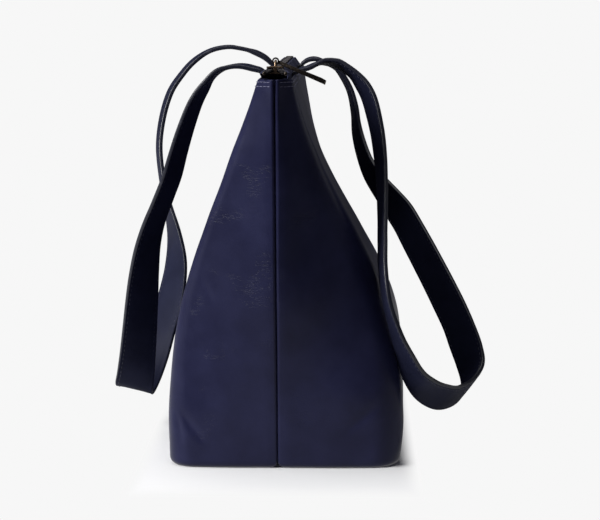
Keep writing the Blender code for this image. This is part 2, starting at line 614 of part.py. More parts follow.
def rod_along_x(name, radius, half_length, material):
    circle = [(radius * cos(pi * k / 8), radius * sin(pi * k / 8)) for k in range(16)]
    sections = [[Vector((x, y, z)) for y, z in circle] for x in (-half_length, half_length)]
    return add_part(name, loft(sections), material)


# Handles

def placed(side, route):
    """Route rows as (point, width direction) in the bag's frame, for the front or the back."""
    stations = []
    for share, outward, up, wide_x, wide_out, wide_up in route:
        point = Vector((share * STRAP_HALF_SPACING, side * (MOUTH_HALF_DEPTH + outward), HEIGHT + up))
        stations.append((point, Vector((wide_x, side * wide_out, wide_up)).normalized()))
    return stations


def blend(a, b, c, d, s):
    """Point of the Catmull-Rom curve between b and c."""
    return 0.5 * (2 * b + (c - a) * s + (2 * a - 5 * b + 4 * c - d) * s**2 + (3 * b - a - 3 * c + d) * s**3)


def strap_line(stations):
    """Point, travel and width direction along a smooth strap, closer together in its bends.

    The second list is each station's place in the first."""
    points = [point for point, width in stations]
    widths = [width for point, width in stations]
    points = [2 * points[0] - points[1], *points, 2 * points[-1] - points[-2]]
    widths = [widths[0], *widths, widths[-1]]
    route = []
    places = []
    for k in range(1, len(points) - 2):
        before = points[k + 1] - points[k - 1]
        after = points[k + 2] - points[k]
        steps = max(1, ceil(degrees(before.angle(after)) / 14))
        places.append(len(route))
        for s in range(steps):
            route.append((blend(*points[k - 1:k + 3], s / steps), blend(*widths[k - 1:k + 3], s / steps)))
    places.append(len(route))
    route.append((points[-2], widths[-2]))
    line = []
    for k, (point, width) in enumerate(route):
        travel = (route[min(k + 1, len(route) - 1)][0] - route[max(k - 1, 0)][0]).normalized()
        width = (width - travel * width.dot(travel)).normalized()
        line.append((point, travel, width))
    return line, places


def lay_on_hinge(line, near, far):
    """Turn the strap at two places so that its width lies on the line through both."""
    axis = (line[near][0] - line[far][0]).normalized()
    for place in (near, far):
        point, travel, width = line[place]
        line[place] = (point, (travel - axis * travel.dot(axis)).normalized(), axis)


def strap_section(point, travel, width, thickness):
    """Eight-sided section of a strap with rounded edges."""
    face = width.cross(travel).normalized()
    half = thickness / 2
    edge = min(STRAP_EDGE, half * 0.6)
    side = STRAP_WIDTH / 2
    corners = ((side, half - edge), (side - edge, half), (edge - side, half), (-side, half - edge),
               (-side, edge - half), (edge - side, -half), (side - edge, -half), (side, edge - half))
    return [point + width * across + face * up for across, up in corners]


def round_end(point, travel, width, way):
    """Sections that close a strap in a half round whose centre is the hinge line."""
    radius = STRAP_THICKNESS / 2
    return [strap_section(point + travel * (way * radius * sin(radians(a))), travel, width,
                          STRAP_THICKNESS * cos(radians(a))) for a in (35, 65, 82)]


def make_tab(name, side, hinge, out_of_bag, material):
    """Thinned strap end from behind the panel edge, over it, and up to the first hinge line."""
    point, travel, width = hinge
    travel = travel * out_of_bag
    stop = point - travel * (STRAP_THICKNESS / 2 + CLEARANCE)
    out = abs(stop.y) - MOUTH_HALF_DEPTH
    up = stop.z - HEIGHT
    sewn = [(face_depth(side, stop.x, z) - TAB_INSET - STRAP_SKIVE / 2, z, STRAP_SKIVE)
            for z in row_heights(HEIGHT - STRAP_SEWN, HEIGHT)[::-1]]
    over = [(-TAB_INSET, STRAP_THICKNESS / 2, STRAP_THICKNESS / 2)]
    over += [(out * way, max(up * rise, TAB_LIFT * STRAP_THICKNESS * full), STRAP_THICKNESS * full)
             for way, rise, full in TAB_OVER]
    over = [(MOUTH_HALF_DEPTH + outward, HEIGHT + rise, thickness) for outward, rise, thickness in over]
    path = [(Vector((stop.x, side * depth, z)), thickness) for depth, z, thickness in sewn + over]
    path.append((stop, STRAP_THICKNESS))
    sections = []
    for k, (at, thickness) in enumerate(path):
        way = travel
        if k < len(path) - 1:
            way = (path[k + 1][0] - path[max(k - 1, 0)][0]).normalized()
        if k < len(sewn) - 1:
            way = (path[k + 1][0] - path[k][0]).normalized()
        across = Vector((1, 0, 0)).lerp(width, max(0, k - len(sewn) + 1) / (len(over) + 1))
        across = (across - way * across.dot(way)).normalized()
        sections.append(strap_section(at, way, across, thickness))
    return add_part(name, loft(sections), material)


def make_arch(name, line, material, pivot):
    """Strap over the mouth edge, with half-round ends on the two hinge lines."""
    sections = round_end(*line[0], -1)[::-1] + [strap_section(*place, STRAP_THICKNESS) for place in line]
    sections += round_end(*line[-1], 1)
    return add_part(name, loft(sections), material, pivot)


def make_loop(name, line, material, pivot):
    """The hanging loop, cut back at both ends from the half-round ends that it meets."""
    cut = STRAP_THICKNESS / 2 + CLEARANCE
    start, travel, width = line[0]
    first = (start + travel * cut, travel, width)
    end, travel, width = line[-1]
    last = (end - travel * cut, travel, width)
    sections = [strap_section(*place, STRAP_THICKNESS) for place in (first, *line[1:-1], last)]
    return add_part(name, loft(sections), material, pivot)


def make_handle(word, side, near, far, route, material):
    """One strap: two sewn ends, two arches over the mouth edge and the loop between them."""
    line, places = strap_line(placed(side, near + route + far[::-1]))
    near_bend = places[len(near) - 1]
    far_bend = places[-len(far)]
    lay_on_hinge(line, 0, len(line) - 1)
    lay_on_hinge(line, near_bend, far_bend)
    make_tab(word + "_strap_tab_near", side, line[0], 1, material)
    make_tab(word + "_strap_tab_far", side, line[-1], -1, material)
    root_pivot = line[0][0]
    make_arch(word + "_strap_arch_near", line[:near_bend + 1], material, root_pivot)
    make_arch(word + "_strap_arch_far", line[far_bend:], material, root_pivot)
    make_loop(word + "_strap_loop", line[near_bend:far_bend + 1], material, line[near_bend][0])


def build():
    for old in list(bpy.data.objects):
        bpy.data.objects.remove(old)
    leather = new_material("navy_leather", (0.014, 0.016, 0.042), 0.38)
    strap_leather = new_material("strap_leather", (0.010, 0.013, 0.030), 0.42)
    cloth = new_material("lining_cloth", (0.020, 0.022, 0.040), 0.90)
    tape_cloth = new_material("tape_cloth", (0.008, 0.009, 0.014), 0.85)
    fibreboard = new_material("base_fibreboard", (0.060, 0.050, 0.040), 0.90)
    metal = new_material("gunmetal", (0.10, 0.09, 0.08), 0.30, 1.0)

    make_panel("front_panel", -1, leather)
    make_panel("back_panel", 1, leather)
    make_base(leather, fibreboard)
    make_lining(cloth)
    make_facing("front_facing", -1, leather)
    make_facing("back_facing", 1, leather)
    make_tape("zip_tape_front", -1, tape_cloth)
    make_tape("zip_tape_back", 1, tape_cloth)
    make_teeth("zip_teeth_front", -1, metal)
    make_teeth("zip_teeth_back", 1, metal)
    make_stops(metal)
    make_slider(metal)
    make_pull(metal)
    make_handle("front", -1, FRONT_NEAR_ARCH, FRONT_FAR_ARCH, FRONT_LOOP, strap_leather)
    make_handle("back", 1, BACK_NEAR_ARCH, BACK_FAR_ARCH, BACK_LOOP, strap_leather)


build()
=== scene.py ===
"""Looks of the leather tote bag: fine leather, cloth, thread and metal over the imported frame.

X runs along the bag's width with the near end at +X, Y through its depth with the back at +Y,
Z up. Lengths are metres.
"""
from math import atan, ceil, cos, pi, radians, sin, tan

import bpy
from mathutils import Matrix, Vector, noise


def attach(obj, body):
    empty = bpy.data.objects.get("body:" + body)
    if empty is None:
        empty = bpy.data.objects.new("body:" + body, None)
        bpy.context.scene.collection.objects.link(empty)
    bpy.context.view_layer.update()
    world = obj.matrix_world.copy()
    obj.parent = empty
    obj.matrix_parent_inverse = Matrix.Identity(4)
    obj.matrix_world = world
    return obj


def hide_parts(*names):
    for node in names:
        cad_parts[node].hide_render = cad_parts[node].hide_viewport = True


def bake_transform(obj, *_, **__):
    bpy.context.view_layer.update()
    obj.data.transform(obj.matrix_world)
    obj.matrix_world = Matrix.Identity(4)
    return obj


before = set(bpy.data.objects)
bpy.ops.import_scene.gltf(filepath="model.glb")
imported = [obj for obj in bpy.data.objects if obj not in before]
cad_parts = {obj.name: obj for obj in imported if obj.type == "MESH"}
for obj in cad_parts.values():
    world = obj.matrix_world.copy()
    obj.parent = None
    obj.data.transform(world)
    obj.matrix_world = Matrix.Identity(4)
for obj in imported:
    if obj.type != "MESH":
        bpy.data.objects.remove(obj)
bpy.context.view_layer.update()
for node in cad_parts.values():
    node.select_set(False)

# Body
HEIGHT = 0.283
SEAM_HALF_WIDTH_BASE = 0.160
SEAM_HALF_WIDTH_TOP = 0.215
MOUTH_HALF_DEPTH = 0.012
BASE_HALF_DEPTH_FRONT = 0.0810
BASE_HALF_DEPTH_BACK = 0.0920
LEATHER = 0.0014
CLEARANCE = 0.0003
SEAM_HALF_GAP = 0.00015
SEAM_ROLL = 0.0017            # round that the leather turns in by at a side seam
SEAM_TURN = 0.0030            # leather turned in along the side seam
SEAM_POINTS = 9               # of a row, at each end, that lie on the leather turned in
BASE_ROLL = 0.0055
BASE_TURN = 0.005
BASE_LIP = 0.0042
PAN_ROUND = 0.0004            # round of the base panel's edges
BOARD = 0.0022
BOARD_ROUND = 0.0003
FLOOR_SHARES = (0.04, 0.3, 0.6, 0.85)  # rings of a flat floor, from its middle out
LINING = 0.0006
LINING_CORNER = 0.006
FACING = 0.0011
FACING_HEIGHT = 0.040
LINING_UNDER_FACING = 0.006
TAPE = 0.0005
TAPE_HEIGHT = 0.012
TAPE_LEVEL = 0.0016
TAPE_END = 0.2085             # it narrows into the corner of the mouth
FRONT_SWELL = ((0, 0.98), (0.15, 0.985), (0.33, 0.92), (0.46, 0.80), (0.61, 0.60),
               (0.765, 0.345), (0.92, 0.11), (1, 0))
BACK_NEAR_SWELL = ((0, 0.965), (0.12, 1.0), (0.33, 0.94), (0.46, 0.81), (0.61, 0.565),
                   (0.765, 0.285), (0.86, 0.150), (0.93, 0.070), (1, 0))
BACK_FAR_SWELL = ((0, 0.965), (0.12, 0.99), (0.33, 0.90), (0.46, 0.72), (0.60, 0.455),
                  (0.73, 0.215), (0.83, 0.105), (0.93, 0.035), (1, 0))
GUSSET_RETURN = ((0, 0.005), (0.2, 0.019), (0.42, 0.031), (0.62, 0.028), (0.78, 0.020), (1, 0.015))
CORNER_RADIUS = ((0, 0.024), (0.6, 0.030), (0.85, 0.018), (1, 0.008))
FRONT_NEAR_RADIUS = ((0, 0.020), (0.25, 0.016), (0.6, 0.014), (0.85, 0.012), (1, 0.008))
FACE_BULGE = ((0, 0), (0.38, 0.004), (0.68, 0), (1, 0))
FACE_BEND = 0.34              # share of the face's half width where its near and far parts begin

# Zip
CHAIN_Z = HEIGHT + 0.0060
CHAIN_HALF_WIDTH = 0.0030
CHAIN_HALF_LENGTH = 0.190
TOOTH_PITCH = 0.0034
TOOTH_WIDTH = 0.00135
TOOTH_REACH = 0.0009
TOOTH_HALF_HEIGHT = 0.0013
CORD_RADIUS = 0.00060
CHAIN_SPREAD = 0.22
SPREAD_START = 0.1838
FIRST_LOOSE = 0.195
LOOSE_TEETH = 7
LOOSE_DROP = 0.0042
TOP_STOP_LENGTH = 0.0021
BOTTOM_STOP_LENGTH = 0.003
SLIDER_X = 0.188
SLIDER_TOP = 0.2916           # upper face of the slider, under its bridge
PULL_END = 0.009              # stretch of the pull round its hole
PULL_TIP_DEPTH = 1.35

# Handles
STRAP_WIDTH = 0.030
STRAP_THICKNESS = 0.0032
STRAP_EDGE = 0.0010
STRAP_SKIVE = 0.0011
STRAP_HALF_SPACING = 0.085
STRAP_SEWN = 0.030
TAB_OVER = ((0.15, 0.55, 0.85), (0.55, 0.85, 1))
TAB_LIFT = 0.65
STRAP_STEP = 0.0028           # between the rings of a strap
ROOT_RISE = 0.0030            # the strap's arch over its hinge
ROOT_RISE_AT = 0.0115         # from the mouth edge
ROOT_RISE_REACH = 0.0085
ROOT_SMOOTHING = 10           # passes
BEND_LAY = 0.2                # how nearly the strap's width lies on the hinge line at an arch's end
TAB_TURN = 0.6                # share of the strap's end after which its width turns
EASED_RINGS = 8               # on each side of a root hinge
BEND_RINGS = 8                # of a bending piece, beyond its hinge
SEWN_RINGS = 8                # from the root hinge back to the last stitch
STITCH_PITCH = 0.0040
STITCH_LENGTH = 0.0030
STITCH_RADIUS = 0.000240
STITCH_SHAPE = ((0, -1.3, 0.6), (0.16, -0.4, 1), (0.5, -0.1, 1.05), (0.84, -0.4, 1), (1, -1.3, 0.6))
STITCH_INSET = 0.0026         # from the strap's edge
STITCH_SINK = 0.00024         # of the thread's middle under the strap's face
STITCH_DIP = 0.0012           # half width of the dip along a row of stitches
STRAP_CROWN = 0.00018         # swell of a strap's faces
PAINT_DEPTH = 0.6 * STRAP_EDGE
EDGE_STITCHES = (0.0019, 0.0049)  # rows round the mouth, below the top edge
EDGE_PITCH = 0.0038
EDGE_STITCH_LIFT = 0.00008

FRONT_NEAR_ARCH = ((1.0, 0.0100, 0.0020, 1, 0.02, 0), (1.0, 0.0215, 0.0056, 1, 0.05, 0),
                   (1.0, 0.0325, 0.0032, 1, 0.12, 0), (0.99, 0.0405, -0.0036, 1, 0.17, 0))
FRONT_FAR_ARCH = ((-1.0, 0.0120, 0.0090, -1, 0.06, 0), (-1.0, 0.0220, 0.0145, -1, 0.06, 0),
                  (-1.0, 0.0350, 0.0170, -1, 0.08, 0), (-1.0, 0.0505, 0.0140, -1, 0.10, 0),
                  (-0.99, 0.0640, 0.0055, -1, 0.14, 0))
BACK_NEAR_ARCH = ((1.0, 0.0110, 0.0025, 1, 0.03, 0.10), (1.0, 0.0200, 0.0085, 1, 0.06, 0.15),
                  (1.01, 0.0300, 0.0080, 1, 0.12, 0.15), (1.035, 0.0405, 0.0015, 1, 0.20, 0.12))
BACK_FAR_ARCH = ((-1.0, 0.0078, 0.0050, 1, 0.03, 0), (-1.0, 0.0138, 0.0052, 1, 0.03, 0),
                 (-1.0, 0.0220, 0.0025, 1, 0.03, 0), (-0.99, 0.0305, -0.0020, 1, 0.08, 0.05))
FRONT_LOOP = ((0.97, 0.0472, -0.0135, 1, 0.24, 0), (0.94, 0.0528, -0.0240, 1, 0.28, 0),
              (0.89, 0.0595, -0.0415, 1, 0.33, 0), (0.83, 0.0655, -0.0600, 1, 0.37, 0),
              (0.77, 0.0712, -0.0790, 1, 0.42, 0), (0.69, 0.0785, -0.0970, 1, 0.45, 0),
              (0.61, 0.0864, -0.1160, 1, 0.52, 0), (0.54, 0.0918, -0.1350, 1, 0.66, 0),
              (0.46, 0.0952, -0.1560, 1, 0.90, 0), (0.39, 0.0976, -0.1780, 1, 1.15, 0.1),
              (0.33, 0.0998, -0.2000, 1, 1.40, 0.2), (0.26, 0.1021, -0.2200, 1, 1.70, 0.35),
              (0.20, 0.1044, -0.2378, 0.7, 1.90, 0.45), (0.13, 0.1062, -0.2476, 0.35, 2.00, 0.5),
              (0.04, 0.1053, -0.2506, 0, 2.00, 0.5), (-0.05, 0.1006, -0.2420, -0.35, 1.90, 0.45),
              (-0.14, 0.0945, -0.2270, -0.7, 1.60, 0.35), (-0.23, 0.0883, -0.2100, -1, 1.30, 0.2),
              (-0.32, 0.0826, -0.1930, -1, 1.15, 0), (-0.40, 0.0784, -0.1740, -1, 1.00, -0.2),
              (-0.47, 0.0766, -0.1560, -1, 0.75, -0.25), (-0.55, 0.0785, -0.1350, -1, 0.42, -0.2),
              (-0.65, 0.0842, -0.1110, -1, 0.22, -0.1), (-0.74, 0.0895, -0.0870, -1, 0.18, 0),
              (-0.83, 0.0920, -0.0630, -1, 0.17, 0), (-0.90, 0.0895, -0.0400, -1, 0.17, 0),
              (-0.95, 0.0835, -0.0200, -1, 0.17, 0), (-0.98, 0.0745, -0.0060, -1, 0.16, 0))
BACK_LOOP = ((1.06, 0.0475, -0.0065, 1, 0.27, 0.10), (1.10, 0.0527, -0.0150, 1, 0.30, 0.08),
             (1.15, 0.0566, -0.0260, 1, 0.30, 0.05), (1.22, 0.0603, -0.0430, 1, 0.26, 0),
             (1.32, 0.0625, -0.0610, 1, 0.21, 0), (1.44, 0.0635, -0.0800, 1, 0.16, 0),
             (1.58, 0.0637, -0.0990, 1, 0.12, 0), (1.72, 0.0635, -0.1180, 1, 0.11, 0),
             (1.85, 0.0638, -0.1370, 1, 0.12, 0), (1.93, 0.0664, -0.1585, 1, 0.14, 0.1),
             (1.92, 0.0726, -0.1795, 1, 0.15, 0.25), (1.86, 0.0794, -0.1970, 1, 0.16, 0.45),
             (1.76, 0.0878, -0.2148, 1, 0.17, 0.62), (1.62, 0.0988, -0.2284, 1, 0.17, 0.75),
             (1.44, 0.1108, -0.2362, 1, 0.17, 0.72), (1.24, 0.1224, -0.2366, 1, 0.24, 0.72),
             (1.07, 0.1306, -0.2318, 1, 0.50, 0.85), (0.96, 0.1330, -0.2240, 1, 0.90, 1.15),
             (0.87, 0.1308, -0.2128, 1, 1.20, 1.50), (0.77, 0.1262, -0.2000, 1, 1.28, 1.62),
             (0.64, 0.1208, -0.1865, 1, 1.15, 1.70), (0.48, 0.1130, -0.1710, 1, 1.10, 1.70),
             (0.30, 0.1050, -0.1560, 1, 1.00, 1.60), (0.12, 0.0975, -0.1425, 1, 0.92, 1.45),
             (-0.06, 0.0900, -0.1295, 1, 0.82, 1.30), (-0.22, 0.0832, -0.1180, 1, 0.70, 1.15),
             (-0.37, 0.0752, -0.1080, 1, 0.50, 1.00), (-0.52, 0.0655, -0.0960, 1, 0.27, 0.85),
             (-0.66, 0.0557, -0.0815, 1, 0.22, 0.65), (-0.78, 0.0495, -0.0655, 1, 0.20, 0.50),
             (-0.87, 0.0457, -0.0500, 1, 0.17, 0.38), (-0.92, 0.0440, -0.0340, 1, 0.11, 0.28),
             (-0.97, 0.0394, -0.0165, 1, 0.06, 0.15))


class Shade:
    """A number in a finish. Sums on it add Math nodes."""

    def __init__(self, finish, socket):
        self.finish = finish
        self.socket = socket

    def work(self, operation, *values):
        return self.finish.node("ShaderNodeMath", {"operation": operation}, dict(enumerate(values)))

    def __add__(self, other):
        return self.work("ADD", self, other)

    def __sub__(self, other):
        return self.work("SUBTRACT", self, other)

    def __mul__(self, other):
        return self.work("MULTIPLY", self, other)

    def __radd__(self, other):
        return self.work("ADD", other, self)

    def __rsub__(self, other):
        return self.work("SUBTRACT", other, self)

    def size(self):
        return self.work("ABSOLUTE", self)

    def sine(self):
        return self.work("SINE", self)

    def most(self, other):
        return self.work("MAXIMUM", self, other)


class Finish:
    """A material in the making, or the world's colour where its tree is given."""

    def __init__(self, name, tree=None):
        self.tree = tree
        if not tree:
            self.material = bpy.data.materials.new(name)
            self.material.use_nodes = True
            self.tree = self.material.node_tree
            self.shader = self.tree.nodes["Principled BSDF"]

    def node(self, kind, settings=None, sockets=None, output=0):
        """Add a node with its settings, fill its sockets, and return one output."""
        node = self.tree.nodes.new(kind)
        for key, value in (settings or {}).items():
            setattr(node, key, value)
        for key, value in (sockets or {}).items():
            self.fill(node.inputs[key], value)
        return Shade(self, node.outputs[output])

    def fill(self, socket, value):
        if isinstance(value, Shade):
            self.tree.links.new(value.socket, socket)
        else:
            socket.default_value = value

    def set(self, **sockets):
        """Fill sockets of the shader, named with _ for a space."""
        for key, value in sockets.items():
            self.fill(self.shader.inputs[key.replace("_", " ")], value)

    def place(self, kind="Object", stretch=None):
        """Where on the piece a pattern is read, in metres."""
        place = self.node("ShaderNodeTexCoord", output=kind)
        if stretch:
            place = self.node("ShaderNodeMapping", None, {"Vector": place, "Scale": stretch})
        return place

    def noise(self, place, scale, detail=2.0, rough=0.5):
        sockets = {"Vector": place, "Scale": scale, "Detail": detail, "Roughness": rough}
        return self.node("ShaderNodeTexNoise", None, sockets)

    def cells(self, place, scale, feature="F1"):
        return self.node("ShaderNodeTexVoronoi", {"feature": feature}, {"Vector": place, "Scale": scale})

    def step(self, value, low, high):
        """From 0 to 1 as the value goes from low to high."""
        sockets = {0: value, 1: low, 2: high, 3: 0.0, 4: 1.0}
        return self.node("ShaderNodeMapRange", {"interpolation_type": "SMOOTHSTEP"}, sockets)

    def mix(self, share, first, second):
        """Colour between two colours."""
        return self.node("ShaderNodeMix", {"data_type": "RGBA"}, {0: share, 6: first, 7: second}, output=2)

    def raise_surface(self, height, distance, strength=1.0):
        sockets = {"Strength": strength, "Distance": distance, "Height": height}
        self.set(Normal=self.node("ShaderNodeBump", None, sockets))


def colour(red, green, blue):
    return (red, green, blue, 1.0)


def leather_finish(name, deep, lifted, rough, shine, coordinates="Object"):
    """Smooth dyed leather: fine pores, faint cell grain, veins where it has been bent."""
    finish = Finish(name)
    place = finish.place(coordinates)
    slow = finish.noise(place, 14.0, 2.0)
    patches = finish.noise(place, 52.0, 3.0)
    grain = finish.cells(place, 1150.0)
    pores = finish.noise(place, 2400.0, 1.0)
    vein = finish.noise(place, 120.0, 4.0, 0.6)
    worked = finish.step(slow, 0.50, 0.66)
    veins = (1.0 - finish.step((vein - 0.5).size(), 0.0, 0.035)) * worked
    wrinkled = finish.step(finish.noise(finish.place(coordinates, (1.0, 1.0, 1.3)), 30.0, 1.0), 0.60, 0.70)
    lines = finish.noise(finish.place(coordinates, (1.0, 1.0, 5.0)), 90.0, 3.0)
    wrinkles = (1.0 - finish.step((lines - 0.5).size(), 0.0, 0.03)) * wrinkled
    tone = finish.step(patches * 0.5 + slow * 0.5, 0.30, 0.72)
    finish.set(Base_Color=finish.mix(tone, deep, lifted))
    finish.set(Roughness=rough + (patches - 0.5) * 0.16 + grain * 0.05 + veins * 0.08)
    height = grain * 0.30 + pores * 0.10 - veins * 0.16 - wrinkles * 0.9 + patches * 0.9
    finish.raise_surface(height, 0.00011, 0.85)
    finish.set(Specular_IOR_Level=shine)
    return finish.material


def paint_finish(name):
    """Burnished edge paint with small runs and rubs."""
    finish = Finish(name)
    place = finish.place("UV", (1.0, 0.25, 1.0))
    runs = finish.noise(place, 1300.0, 2.0)
    rubs = finish.step(finish.noise(place, 260.0, 3.0), 0.56, 0.72)
    finish.set(Base_Color=finish.mix(rubs, colour(0.006, 0.007, 0.016), colour(0.020, 0.021, 0.036)))
    finish.set(Roughness=0.30 + runs * 0.18 + rubs * 0.15)
    finish.raise_surface(runs, 0.00006)
    return finish.material


def thread_finish(name, deep, lifted):
    """Waxed thread with its fibres showing."""
    finish = Finish(name)
    place = finish.place("Object")
    fibre = finish.noise(place, 5200.0, 2.0)
    finish.set(Base_Color=finish.mix(finish.step(fibre, 0.35, 0.7), deep, lifted))
    finish.set(Roughness=0.52 + fibre * 0.2)
    finish.raise_surface(fibre, 0.00006)
    return finish.material


def weave_finish(name, deep, lifted, pitch, rib):
    """Woven cloth, with threads across and along the piece's own map. Rib is the twill's slant."""
    finish = Finish(name)
    place = finish.place("UV")
    across = finish.node("ShaderNodeSeparateXYZ", None, {0: place})
    along = Shade(finish, across.socket.node.outputs[1])
    turns = 2 * pi / pitch
    warp = (across * turns).sine()
    weft = (along * turns + across * (turns * rib)).sine()
    weave = (warp * weft) * 0.5 + 0.5
    fluff = finish.noise(place, 900.0, 3.0)
    finish.set(Base_Color=finish.mix(weave * 0.6 + fluff * 0.4, deep, lifted))
    finish.set(Roughness=0.82 + fluff * 0.12)
    finish.raise_surface(weave + fluff * 0.4, 0.00014, 0.9)
    finish.set(Sheen_Weight=0.04, Sheen_Roughness=0.5, Specular_IOR_Level=0.2)
    return finish.material


def board_finish(name):
    """Grey-brown pressed fibre."""
    finish = Finish(name)
    place = finish.place("Object")
    fibre = finish.noise(finish.place("Object", (1.0, 0.3, 1.0)), 900.0, 4.0)
    fleck = finish.step(finish.noise(place, 420.0, 2.0), 0.60, 0.70)
    finish.set(Base_Color=finish.mix(fibre * 0.7 + fleck * 0.3, colour(0.05, 0.042, 0.034),
                                     colour(0.12, 0.10, 0.08)))
    finish.set(Roughness=0.82 + fibre * 0.1)
    finish.raise_surface(fibre, 0.0001)
    return finish.material


def metal_finish(name, dark, bright, rough):
    """Plated metal with fine brushed scratches and smudges, brighter where the plating thins."""
    finish = Finish(name)
    place = finish.place("Object")
    scratches = finish.noise(finish.place("Object", (0.15, 1.0, 1.0)), 4200.0, 2.0)
    smudge = finish.noise(place, 420.0, 3.0)
    worn = finish.step(finish.noise(place, 900.0, 3.0), 0.50, 0.70)
    finish.set(Base_Color=finish.mix(worn, dark, bright))
    finish.set(Roughness=rough + (smudge - 0.5) * 0.22 + scratches * 0.10)
    finish.set(Metallic=1.0)
    finish.raise_surface(scratches, 0.00002, 0.6)
    return finish.material


# How far the thread draws the side seams in, as (share of the height, depth), and how far from
# the seam that is felt.
SEAM_PULL = (
    (((0, 0.0010), (0.5, 0.0012), (0.85, 0.0009), (1, 0.0003)), 0.0048),
    (((0, 0.0032), (0.25, 0.0038), (0.45, 0.0008), (0.6, 0)), 0.030),
)


def table_value(share_table, at):
    """Value of a (position, value) table, on a smooth curve through its points."""
    last = len(share_table) - 1
    at = min(max(at, share_table[0][0]), share_table[last][0])
    i = max(k for k in range(last) if share_table[k][0] <= at)

    def slope(k):
        low = share_table[max(k - 1, 0)]
        high = share_table[min(k + 1, last)]
        return (high[1] - low[1]) / (high[0] - low[0])

    start, value = share_table[i]
    end, next_value = share_table[i + 1]
    span = end - start
    s = (at - start) / span
    return ((2 * s**3 - 3 * s**2 + 1) * value + (s**3 - 2 * s**2 + s) * span * slope(i)
            + (3 * s**2 - 2 * s**3) * next_value + (s**3 - s**2) * span * slope(i + 1))


def half_depth(side, end, z):
    """Half depth of the body at a height, on the back (side 1) or the front (side -1)."""
    swell = FRONT_SWELL
    if side > 0:
        swell = BACK_NEAR_SWELL if end > 0 else BACK_FAR_SWELL
    base = BASE_HALF_DEPTH_BACK if side > 0 else BASE_HALF_DEPTH_FRONT
    return MOUTH_HALF_DEPTH + (base - MOUTH_HALF_DEPTH) * table_value(swell, z / HEIGHT)


def seam_half_width(z):
    return SEAM_HALF_WIDTH_BASE + (SEAM_HALF_WIDTH_TOP - SEAM_HALF_WIDTH_BASE) * z / HEIGHT


def arc(corner, before, after, radius, steps):
    """Points of the round that replaces a corner, from the side of one point to the other."""
    back = (before - corner).normalized()
    on = (after - corner).normalized()
    half = back.angle(on) / 2
    start = corner + back * (radius / tan(half))
    centre = corner + (back + on).normalized() * (radius / sin(half))
    turn = pi - 2 * half
    way = 1 if back.x * on.y - back.y * on.x < 0 else -1
    arm = start - centre
    return [centre + Matrix.Rotation(way * turn * k / steps, 2) @ arm for k in range(steps + 1)]


def bell(power):
    """1 at a power of 0, falling to 0 as the power grows."""
    return 2.718 ** -power


def smooth_step(s):
    s = min(max(s, 0), 1)
    return s * s * (3 - 2 * s)


def quarter_outline(side, end, z, inset):
    """Plan of the body from a side seam to the middle of its face, moved inward by inset."""
    share = z / HEIGHT
    width = seam_half_width(z)
    depth = half_depth(side, end, z)
    other_depth = half_depth(side, -end, z)
    gusset = Vector((-table_value(GUSSET_RETURN, share), depth))
    inward = Vector((-gusset.y, gusset.x)).normalized()
    line = Vector((width, 0)) + inward * inset
    level = depth - inset
    turned = SEAM_HALF_GAP + inset
    tip = line + gusset * ((turned - line.y) / gusset.y)
    corner = line + gusset * ((level - line.y) / gusset.y)
    points = [Vector((tip.x - SEAM_TURN - inset, turned))]
    points += arc(tip, Vector((0, turned)), corner, max(SEAM_ROLL - inset, 0.0003), 8)
    radii = FRONT_NEAR_RADIUS if side < 0 < end else CORNER_RADIUS
    bend = arc(corner, tip, Vector((0, level)), max(table_value(radii, share) - inset, 0.001), 14)
    last = points[-1]
    points += [last.lerp(bend[0], k / 30) for k in range(1, 30)]
    points += bend
    bulge = table_value(FACE_BULGE, share)
    start = points[-1].x
    for k in range(1, 56):
        s = 1 - k / 55
        own = smooth_step(0.5 + 0.5 * s / (1.2 * FACE_BEND))
        between = level * own + (other_depth - inset) * (1 - own)
        points.append(Vector((start * s, between + bulge * (1 - s * s))))
    for point in points:
        for depth_table, reach in SEAM_PULL:
            point.x -= table_value(depth_table, share) * bell((point.y / reach) ** 2)
    return [Vector((end * point.x, side * point.y)) for point in points]


def body_row(side, z, inset):
    """One row of a body half, from the near seam to the far one, as points in space."""
    plan_z = max(z, BASE_ROLL)
    near = quarter_outline(side, 1, plan_z, inset)
    far = quarter_outline(side, -1, plan_z, inset)
    return [Vector((point.x, point.y, z)) for point in near + far[-2::-1]]


def open_row(side, z, inset):
    """A row without the leather that is turned in along the side seams."""
    return body_row(side, z, inset)[SEAM_POINTS:-SEAM_POINTS]


def take(piece):
    """Select one piece alone and make it the active one."""
    bpy.ops.object.select_all(action="DESELECT")
    piece.select_set(True)
    bpy.context.view_layer.objects.active = piece


def edit_all():
    """Open the active piece's mesh with all of it selected."""
    bpy.ops.object.mode_set(mode="EDIT")
    bpy.ops.mesh.select_all(action="SELECT")


def edit_chosen(kind, parts, is_chosen):
    """Open the active piece's mesh with only the chosen vertices or faces selected."""
    bpy.ops.object.mode_set(mode="EDIT")
    bpy.ops.mesh.select_mode(type=kind)
    bpy.ops.mesh.select_all(action="DESELECT")
    bpy.ops.object.mode_set(mode="OBJECT")
    for part in parts:
        part.select = is_chosen(part)
    bpy.ops.object.mode_set(mode="EDIT")


def settle(piece, solid, body="bag"):
    """Let a piece stand for a CAD solid and ride on a body."""
    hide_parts(solid)
    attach(piece, body)


